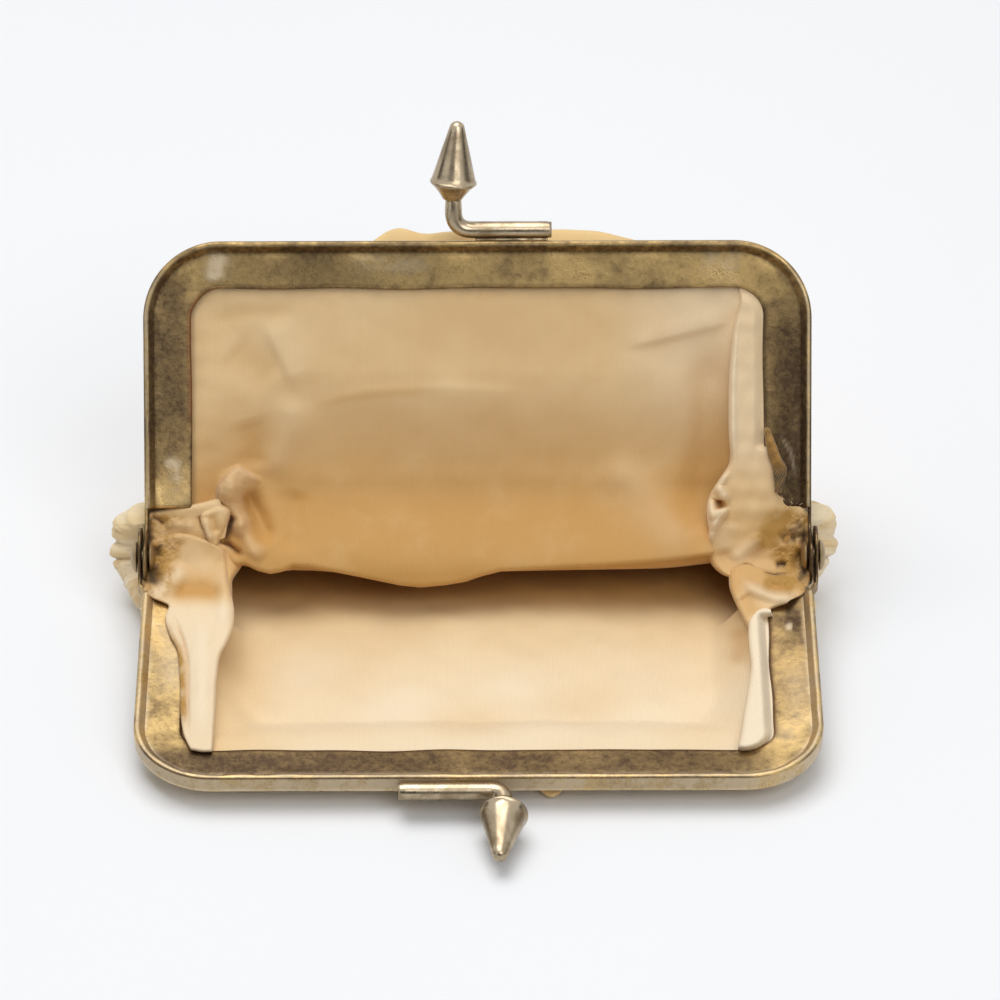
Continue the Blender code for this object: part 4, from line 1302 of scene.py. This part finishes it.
class PurseMetal(bpy.types.PropertyGroup):
    unevenness: FloatProperty(
        name="Unevenness", description="How far the pressed brass strays from straight", default=0.00012,
        min=0, max=0.0005, unit="LENGTH", subtype="DISTANCE")
    brass: FloatVectorProperty(
        name="Brass", description="Bare brass",
        default=(0.68, 0.465, 0.19), min=0, max=1, subtype="COLOR")
    # Tarnish colour, which the dark mark also lays as painted shadow and painted dark reflection on the frame
    tarnish_and_shade: FloatVectorProperty(
        name="Tarnish", description="Dark tarnish",
        default=(0.095, 0.06, 0.034), min=0, max=1, subtype="COLOR")
    olive: FloatVectorProperty(
        name="Olive", description="Greenish film on the brass",
        default=(0.46, 0.325, 0.135), min=0, max=1, subtype="COLOR")
    rust: FloatVectorProperty(
        name="Rust", description="Red-brown edge stain",
        default=(0.24, 0.1, 0.035), min=0, max=1, subtype="COLOR")
    # Dirt colour, laid on the back half mostly as painted shade in the step beside the rim and on the top
    # bar's rim
    dirt_and_shade: FloatVectorProperty(
        name="Dirt", description="Dirt packed in the step beside the rim",
        default=(0.03, 0.014, 0.006), min=0, max=1, subtype="COLOR")
    # Rubbed brass colour, also laid as painted light on the front half's outer wall
    worn: FloatVectorProperty(
        name="Worn", description="Rubbed pale patches and edges",
        default=(0.68, 0.54, 0.35), min=0, max=1, subtype="COLOR")
    clasp: FloatVectorProperty(
        name="Clasp", description="Knobs and rods",
        default=(0.46, 0.37, 0.25), min=0, max=1, subtype="COLOR")
    clasp_dark: FloatVectorProperty(
        name="Dark clasp", description="Worn places of knobs and rods",
        default=(0.25, 0.185, 0.11), min=0, max=1, subtype="COLOR")


class PurseCloth(bpy.types.PropertyGroup):
    thread_pitch: FloatProperty(
        name="Thread pitch", description="Spacing of the raised threads", default=0.00028,
        min=0.0001, max=0.002, unit="LENGTH", subtype="DISTANCE")
    lining: FloatVectorProperty(
        name="Lining", description="Champagne lining",
        default=(0.83, 0.615, 0.345), min=0, max=1, subtype="COLOR")
    lining_shade: FloatVectorProperty(
        name="Lining shade", description="Darker clouds of the lining",
        default=(0.71, 0.47, 0.22), min=0, max=1, subtype="COLOR")
    # Aged yellow-brown, also laid as painted shade in the cloth's hollows, creases and shaded parts
    lining_stain: FloatVectorProperty(
        name="Lining stain", description="Aged yellow-brown of the lining",
        default=(0.56, 0.3, 0.08), min=0, max=1, subtype="COLOR")
    outer: FloatVectorProperty(
        name="Outer satin", description="Gold satin outside",
        default=(0.93, 0.73, 0.39), min=0, max=1, subtype="COLOR")
    outer_shade: FloatVectorProperty(
        name="Outer shade", description="Darker clouds of the gold satin",
        default=(0.82, 0.57, 0.25), min=0, max=1, subtype="COLOR")
    # Pale colour, mostly laid as painted light on lit cloth and painted highlight on ridges
    pale: FloatVectorProperty(
        name="Pale cloth", description="Cloth that has kept its first colour",
        default=(0.9, 0.77, 0.57), min=0, max=1, subtype="COLOR")
    # Near-black colour for grime in the old glue, and for painted shadow along the flange edges, in the slit
    # and in gaps and creases
    grime: FloatVectorProperty(
        name="Grime", description="Dark dirt in the hinge corners",
        default=(0.07, 0.04, 0.015), min=0, max=1, subtype="COLOR")
    glue: FloatVectorProperty(
        name="Glue", description="Old brown glue",
        default=(0.42, 0.22, 0.04), min=0, max=1, subtype="COLOR")


class PurseStage(bpy.types.PropertyGroup):
    key_power: FloatProperty(
        name="Overhead light", description="Power of the large overhead panel", default=5.2,
        min=0, unit="POWER")
    fill_power: FloatProperty(
        name="Front light", description="Power of the front panel", default=2.9,
        min=0, unit="POWER")
    surround: FloatProperty(
        name="Surround", description="Strength of the pale surround's light", default=0.36, min=0, max=2)


class PURSE_OT_frame_halves(bpy.types.Operator):
    """Builds the two folded brass channels with their hinge ears"""
    bl_idname = "purse.frame_halves"
    bl_label = "Frame halves"

    def execute(self, context):
        finish = brass_material()
        for half, ear_x, node_name, seed in (
            (FRONT, HALF_WIDTH + GAP + SHEET / 2, "front_frame", 1),
            (BACK, HALF_WIDTH - SHEET / 2, "back_frame", 4),
        ):
            things = [channel(half, seed), ear(half, 1, ear_x), ear(half, -1, ear_x)]
            piece = joined(node_name.replace("frame", "brass_frame"), things)
            paint_brass(piece, half)
            piece.data.materials.append(finish)
            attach(piece, half)
            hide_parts(node_name)
        return {"FINISHED"}


def values_of(items, word, width):
    """Numbers that each of a mesh's items keeps under a word, as rows of a width."""
    values = np.zeros(len(items) * width, np.float32)
    items.foreach_get(word, values)
    return values.reshape(-1, width)


def set_mark(piece, word, values):
    """Keeps a number from 0 to 1 at every point of a piece."""
    attribute = piece.data.attributes.new(word, "FLOAT", "POINT")
    attribute.data.foreach_set("value", np.clip(np.asarray(values, np.float32), 0, 1))


def set_even_marks(piece, **marks):
    """Gives every point of a piece the same marks."""
    for word, value in marks.items():
        set_mark(piece, word, np.full(len(piece.data.vertices), value))


# Rubbed pale patches of the frame, in pixels: points, width on the right-hand side, on the left, strength
WORN_PATCHES = {
    BACK: (
        (((222, 248), (217, 262), (215, 284)), 10, 9, 1.3),
        (((340, 262), (440, 266)), 9, 9, 0.35),
        (((164, 466), (172, 462), (182, 468)), 5, 5, 1.0),
        (((166, 478), (176, 476), (184, 480)), 4, 5, 0.9),
        (((172, 484), (174, 506)), 14, 14, 0.2),
        (((779, 434), (791, 452), (796, 478)), 1.5, 1.5, 0.5),
        (((700, 258), (745, 270)), 14, 14, 0.45),
    ),
    FRONT: (
        (((165, 600), (172, 650), (176, 700)), 16, 16, 0.35),
        (((790, 645), (800, 720), (770, 760)), 14, 14, 0.2),
        (((785, 627), (792, 627)), 3, 3, 1.2),
    ),
}


def paint_brass(piece, half):
    """Marks the dark, rusty and rubbed places of a frame half, with painted shadow and painted dark
    reflection among the dark and dirt marks and painted light among the rubbed ones.
    """
    marks = piece.data.attributes
    x, reach, level = values_of(marks["flat"].data, "vector", 3).T
    inset = values_of(marks["inset"].data, "value", 1)[:, 0]
    px, py = pixel_of(values_of(piece.data.vertices, "co", 3) / METRES)
    face = rise(-2.2, -1.9, level)
    groove = rise(0.35, 0.75, inset) * rise(1.9, 1.4, inset) * face
    # Along the flange's free edge the dark and dirt marks lay a painted shadow line beside the cloth; the
    # rust along it is edge stain
    free_edge = rise(5.5, 6.0, inset) * face
    rim = rise(-0.25, -0.16, level) * rise(0.05, 0.2, inset) * rise(0.75, 0.45, inset)
    in_ear = rise(-5.2, -3.0, -np.abs(reach)) * rise(42, 42.5, np.abs(x))
    worn = painted(px, py, WORN_PATCHES[half]) * face
    if half == BACK:
        # Painted dark reflection over the tarnish: the back half's legs and left bar are darkened and its
        # right bar lightened
        left_bar = rise(215, 250, px) * rise(345, 315, px) * rise(300, 280, py)
        left_leg = rise(200, 180, px) * rise(245, 285, py) * rise(520, 440, py) * 0.75
        right_leg = rise(740, 790, px) * rise(270, 340, py)
        right_bar = rise(640, 700, px) * rise(300, 280, py)
        dark = 0.35 * left_bar + left_leg + right_leg + 0.6 * free_edge - 0.3 * right_bar
        # Painted shade with some dirt: dark in the step beside the rim, on the top bar's rim and outer edge,
        # and over the legs
        in_groove = 0.85 * rise(275, 255, py) + 0.55 * rise(255, 275, py)
        dirt_and_shade = groove * in_groove + 0.35 * free_edge * rise(300, 280, py)
        outer_edge = rise(-1.2, -0.4, level) * rise(0.45, 0.2, inset)
        dirt_and_shade = np.maximum(dirt_and_shade, (0.45 * rim + 0.4 * outer_edge) * rise(262, 250, py))
        dirt_and_shade = np.maximum(dirt_and_shade, face * (0.3 * right_leg + 0.15 * left_leg))
        rust = 0.8 * free_edge * rise(240, 200, px) * rise(270, 300, py) * rise(440, 400, py)
        worn = worn + (0.1 + 0.5 * rise(262, 300, py)) * rim
    else:
        bottom = rise(740, 756, py) * (0.88 + 0.12 * rise(480, 300, px)) * rise(810, 730, px) * face
        solder = stroke(px, py, ((783, 620), (803, 621)), 9, 9)
        sides = rise(745, 700, py) * (0.1 * rise(500, 480, px) + 0.55 * rise(480, 500, px))
        # Painted light: the front half's outer wall and underside are painted pale with the rubbed colour and
        # kept from going dark, as the wall faces away from the lamps
        wall = rise(-0.3, -0.5, level) * rise(0.3, 0.1, inset) * rise(700, 760, py)
        dark = bottom + sides + 0.45 * free_edge + 1.2 * solder
        dark = dark * (1 - stroke(px, py, ((785, 627), (792, 627)), 3, 3)) * (1 - 0.7 * wall)
        dirt_and_shade = 0.5 * solder + 0.15 * free_edge + 0.2 * bottom
        rust = 0.25 * free_edge
        worn = worn + (0.1 + 0.5 * 0.75) * rim + (1 - face) + (0.4 * groove + 0.8 * wall)
    set_mark(piece, "dark", (dark + 0.7 * in_ear) * (1 - rim))
    set_mark(piece, "rust", rust)
    set_mark(piece, "worn", worn)
    set_mark(piece, "dirt_and_shade", dirt_and_shade)


SHANK_RADIUS = 0.9
HEAD_RADIUS, HEAD_HEIGHT = 2.0, 0.8
TAIL_RADIUS, TAIL_HEIGHT = 1.9, 0.7
# Radius that closes a turned profile at its axis, and the rim below a rivet's dome
POINT = 0.001
DOME_RIM = 0.05


class PURSE_OT_rivets(bpy.types.Operator):
    """Builds the two hinge rivets with domed heads"""
    bl_idname = "purse.rivets"
    bl_label = "Hinge rivets"

    def execute(self, context):
        finish = bpy.data.materials["tarnished_brass"]
        outer, inner = HALF_WIDTH + GAP + SHEET + GAP, HALF_WIDTH - SHEET - GAP
        arc = np.linspace(0, math.pi / 2, 10)
        head = [(HEAD_RADIUS * math.sin(a) + POINT, outer + HEAD_HEIGHT * math.cos(a)) for a in arc]
        tail = [(TAIL_RADIUS * math.sin(a) + POINT, inner - TAIL_HEIGHT * math.cos(a)) for a in arc[::-1]]
        shank = [
            (HEAD_RADIUS, outer + DOME_RIM), (SHANK_RADIUS, outer),
            (SHANK_RADIUS, inner), (TAIL_RADIUS, inner - DOME_RIM),
        ]
        profile = head + shank + tail
        for word, side in (("left", -1), ("right", 1)):
            pin = turned(f"rivet_{word}", profile, HINGE, (side, 0, 0), 48)
            set_even_marks(pin, dark=0.55, rust=0, worn=0.25)
            pin.data.materials.append(finish)
            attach(pin, FRONT)
            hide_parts(f"hinge_rivet_{word}")
        return {"FINISHED"}


# Each clasp: side that its knob stands on, rod length, bend radius, height of the knob, lean, and how far
# its rod is raised
CLASPS = {
    FRONT: (1, 13.0, 1.6, 4.2, math.radians(3), 0.2),
    BACK: (-1, 12.6, 2.5, 6.2, math.radians(14), 0.0),
}
ROD_RADIUS = 1.1
ROD_REACH = BAR_REACH + GAP + ROD_RADIUS
ROD_LEVEL = -1.3
KNOB_X = 3.05


# The knob's outline from the end of its rounded tip down, as radius and height
CONE_TOP_HEIGHT, CONE_TIP_TURN = 7.2, 1.18
CONE_FOOT = (2.86, 0.42)
KNOB_RING = [(2.94, 0.36), (3.0, 0.26), (3.0, 0.06), (2.93, -0.04), (2.8, -0.12)]
KNOB_UNDERSIDE = [(2.2, -0.75), (1.6, -1.5), (1.25, -2.05), (1.12, -2.15), (0.9, -2.18)]


def knob_outline():
    """The whole outline of a knob: tip, cone, ring and underside."""
    turns = np.linspace(0, CONE_TIP_TURN, 8)
    tip = [(max(math.sin(turn), 0.02), CONE_TOP_HEIGHT + math.cos(turn)) for turn in turns]
    down = np.linspace(0, 1, 12)[1:]
    cone = [tuple(mix(high, low, share) for high, low in zip(tip[-1], CONE_FOOT)) for share in down]
    return tip + cone + KNOB_RING + KNOB_UNDERSIDE


class PURSE_OT_clasps(bpy.types.Operator):
    """Builds the two bent rods soldered to the bars and their cone knobs"""
    bl_idname = "purse.clasps"
    bl_label = "Kiss clasp"

    def execute(self, context):
        finish = clasp_material()
        for half, (side, length, bend, height, lean, raised) in CLASPS.items():
            word = half.split("_")[0]
            line = rounded_line([(length, 0), (0, 0), (0, height - 2.0)], bend, 14, 0.35)
            radii = np.full(len(line), ROD_RADIUS)
            radii[:2] *= 0.94
            x = side * (KNOB_X - line[:, 0])
            rod_level = ROD_LEVEL + raised
            over, up = math.cos(lean), math.sin(lean)
            route = on_half(half, x, ROD_REACH + line[:, 1] * over, rod_level + line[:, 1] * up)
            neck = rise(height - 3.6, height - 2.2, line[:, 1])
            arm = tube(f"clasp_rod_{word}", route, radii * mix(1, 0.93, neck), 32)
            direction = on_half(half, 0, over, up) - HINGE
            direction = direction - side * math.tan(math.radians(4)) * ACROSS
            origin = on_half(half, side * KNOB_X, ROD_REACH + height * over, rod_level + height * up)
            knob = turned(f"clasp_cone_{word}", knob_outline(), origin, direction, 72)
            seam_x = side * (KNOB_X - np.linspace(length - 0.5, bend + 0.3, 50))
            seam = on_half(half, seam_x, BAR_REACH + 0.15, rod_level - 0.6)
            solder = tube(f"solder_seam_{word}", seam, 0.5 + 0.04 * ripples(seam_x, 0, 2.2, 91), 16)
            pieces = (arm, f"clasp_arm_{word}"), (knob, f"clasp_knob_{word}"), (solder, None)
            for piece, node_name in pieces:
                piece.data.materials.append(finish)
                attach(piece, half)
                if node_name:
                    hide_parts(node_name)
        return {"FINISHED"}


# Direction through the hinge, from the front half's side of the cloth to the back half's
BEND_WAY = (0, -0.44, 0.9)


def cross_joint(piece):
    """Lets a cloth bend between the halves, turning where it passes the hinge."""
    way = np.array(BEND_WAY) / np.linalg.norm(BEND_WAY)
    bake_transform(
        piece, FRONT, BACK,
        start=tuple((HINGE - way * 6) * METRES), end=tuple((HINGE + way * 2) * METRES))


class PURSE_OT_lining(bpy.types.Operator):
    """Builds the satin lining: back panel, front panel and the two gathered corners"""
    bl_idname = "purse.lining"
    bl_label = "Satin lining"

    def execute(self, context):
        look = context.scene.purse_cloth
        finish = satin_material(
            "champagne_lining", look.lining[:], look.lining_shade[:], look.lining_stain[:], 0.25)
        back = thicken(back_lining(), LINING_CLOTH)
        front = thicken(front_lining(), LINING_CLOTH)
        left = gusset("lining_gather_left", -1, LEFT_FOLDS)
        right = gusset("lining_gather_right", 1, RIGHT_FOLDS)
        for piece in (back, front, left, right):
            piece.data.materials.append(finish)
        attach(front, FRONT)
        for piece in (back, left, right):
            cross_joint(piece)
        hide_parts("lining_back_panel_upper", "lining_back_panel_lower")
        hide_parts("lining_front_panel")
        return {"FINISHED"}


class PURSE_OT_bag(bpy.types.Operator):
    """Builds the gold satin outside of the bag and its swollen hinge corners"""
    bl_idname = "purse.bag"
    bl_label = "Bag outside"

    def execute(self, context):
        look = context.scene.purse_cloth
        finish = satin_material("gold_satin", look.outer[:], look.outer_shade[:], look.lining_stain[:], 0.3)
        back = thicken(back_bag(), OUTER_CLOTH)
        front = thicken(front_bag(), OUTER_CLOTH)
        left = thicken(hinge_gather("bag_gather_left", -1), OUTER_CLOTH)
        right = thicken(hinge_gather("bag_gather_right", 1), OUTER_CLOTH)
        for piece in (back, front, left, right):
            piece.data.materials.append(finish)
        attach(front, FRONT)
        for piece in (back, left, right):
            cross_joint(piece)
        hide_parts("bag_back_panel_upper", "bag_back_panel_lower")
        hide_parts("bag_front_panel")
        return {"FINISHED"}


class PURSE_OT_cords(bpy.types.Operator):
    """Gives the paper cords in the channels their finish"""
    bl_idname = "purse.cords"
    bl_label = "Paper cords"

    def execute(self, context):
        finish, tree, shader = new_material("twisted_paper", Roughness=0.9)
        place = node(tree, "ShaderNodeTexCoord").outputs["Object"]
        fibres = band(tree, noise(tree, place, 1500, 3), 0.35, 0.7)
        tint = blend_colour(tree, fibres, (0.62, 0.5, 0.33), (0.4, 0.29, 0.16))
        tree.links.new(tint, shader.inputs["Base Color"])
        for word in ("front", "back"):
            cord = frame["nodes"][f"channel_cord_{word}"]
            for entry in cord.material_slots:
                entry.material = finish
        return {"FINISHED"}


def seen_directly(tree):
    """1 for the rays that the camera, mirrors and glass send out, and 0 for those that only light things."""
    rays = node(tree, "ShaderNodeLightPath")
    sharp = add(tree, rays.outputs["Is Camera Ray"], rays.outputs["Is Glossy Ray"])
    return add(tree, sharp, rays.outputs["Is Transmission Ray"], clamp=True)


TABLE_SPAN = 900.0
TABLE_TOP = -0.05


class PURSE_OT_stage(bpy.types.Operator):
    """Sets the white table, the soft lights and the camera at the photograph's angle"""
    bl_idname = "purse.stage"
    bl_label = "Stage"

    def execute(self, context):
        scene = context.scene
        look = scene.purse_stage
        scene.view_settings.view_transform = "Standard"
        world = bpy.data.worlds.new("pale_surround")
        scene.world = world
        world.use_nodes = True
        tree = world.node_tree
        background = tree.nodes["Background"]
        background.inputs["Color"].default_value = (1, 1, 1, 1)
        background.inputs["Strength"].default_value = look.surround
        pale = node(tree, "ShaderNodeBackground", {"Color": (0.925, 0.94, 0.965, 1), "Strength": 1.0})
        blended = node(tree, "ShaderNodeMixShader", {0: seen_directly(tree)})
        tree.links.new(background.outputs[0], blended.inputs[1])
        tree.links.new(pale.outputs[0], blended.inputs[2])
        tree.links.new(blended.outputs[0], tree.nodes["World Output"].inputs["Surface"])

        rows = np.linspace(-1, 1, 41) * TABLE_SPAN
        x, y = np.meshgrid(rows, rows)
        floor = sheet_mesh("table", np.stack([x, y, np.full_like(x, TABLE_TOP)], -1))
        finish, tree, shader = new_material("white_table", Roughness=0.6, Specular_IOR_Level=0.2)
        place = node(tree, "ShaderNodeTexCoord").outputs["Object"]
        tint = blend_colour(tree, noise(tree, place, 6, 2), (0.86, 0.875, 0.9), (0.9, 0.91, 0.925))
        tree.links.new(tint, shader.inputs["Base Color"])
        floor.data.materials.append(finish)

        shadow, _, shader = new_material("dark_card", Roughness=1.0, Specular_IOR_Level=0.0)
        shader.inputs["Base Color"].default_value = (0.015, 0.013, 0.012, 1)
        for word, low, high in (
            ("front", ((-860, -1250, 130), (760, -1250, 130)), ((-860, -1150, 900), (760, -1150, 900))),
            ("left", ((-1200, -600, 20), (-1200, 300, 20)), ((-1200, -600, 420), (-1200, 300, 420))),
            ("right", ((1200, -600, 20), (1200, 300, 20)), ((1200, -600, 420), (1200, 300, 420))),
        ):
            card = sheet_mesh(f"dark_card_{word}", np.array([low, high], float))
            card.data.materials.append(shadow)

        # Each light's name, its place and size in metres, and its power
        for name, place, size, power in (
            ("overhead_panel", (-0.1, 0.14, 0.85), 0.7, look.key_power),
            ("front_panel", (0.3, -0.7, 0.75), 0.6, look.fill_power),
        ):
            light = bpy.data.lights.new(name, "AREA")
            light.shape = "SQUARE"
            light.size = size
            light.energy = power
            lamp = bpy.data.objects.new(name, light)
            scene.collection.objects.link(lamp)
            lamp.location = place
            lamp.rotation_mode = "QUATERNION"
            lamp.rotation_quaternion = (Vector(place) - Vector(HINGE * METRES)).to_track_quat("Z", "Y")

        camera = bpy.data.cameras.new("camera")
        camera.sensor_width = SENSOR
        camera.lens = LENS
        camera.clip_end = 10
        eye = bpy.data.objects.new("camera", camera)
        scene.collection.objects.link(eye)
        place = HINGE + TOWARDS_VIEW * VIEW_DISTANCE
        middle = PICTURE / 2
        aim = HINGE + ACROSS * (middle - HINGE_PIXEL[0]) * PIXEL * VIEW_DISTANCE
        aim = aim + VIEW_UP * (HINGE_PIXEL[1] - middle) * PIXEL * VIEW_DISTANCE
        eye.location = Vector(place * METRES)
        eye.rotation_mode = "QUATERNION"
        eye.rotation_quaternion = Vector(place - aim).to_track_quat("Z", "Y")
        scene.camera = eye
        return {"FINISHED"}


class PURSE_PT_panel(bpy.types.Panel):
    """Lists the purse's settings and its pieces"""
    bl_idname = "PURSE_PT_panel"
    bl_label = "Kiss Lock Coin Purse"
    bl_space_type = "VIEW_3D"
    bl_region_type = "UI"
    bl_category = "Purse"

    def draw(self, context):
        layout = self.layout
        for group in (context.scene.purse_metal, context.scene.purse_cloth, context.scene.purse_stage):
            box = layout.box()
            for word in group.__annotations__:
                box.prop(group, word)
        for operator in OPERATORS:
            layout.operator(operator.bl_idname)


GROUPS = {"purse_metal": PurseMetal, "purse_cloth": PurseCloth, "purse_stage": PurseStage}
OPERATORS = (
    PURSE_OT_stage, PURSE_OT_frame_halves, PURSE_OT_rivets, PURSE_OT_clasps, PURSE_OT_lining, PURSE_OT_bag,
    PURSE_OT_cords,
)


def register():
    for kind in (*GROUPS.values(), *OPERATORS, PURSE_PT_panel):
        bpy.utils.register_class(kind)
    for word, kind in GROUPS.items():
        setattr(bpy.types.Scene, word, PointerProperty(type=kind))


def unregister():
    for word in GROUPS:
        delattr(bpy.types.Scene, word)
    for kind in reversed((*GROUPS.values(), *OPERATORS, PURSE_PT_panel)):
        bpy.utils.unregister_class(kind)


def main():
    register()
    for operator in OPERATORS:
        category, word = operator.bl_idname.split(".")
        getattr(getattr(bpy.ops, category), word)()


if __name__ == "__main__":
    main()
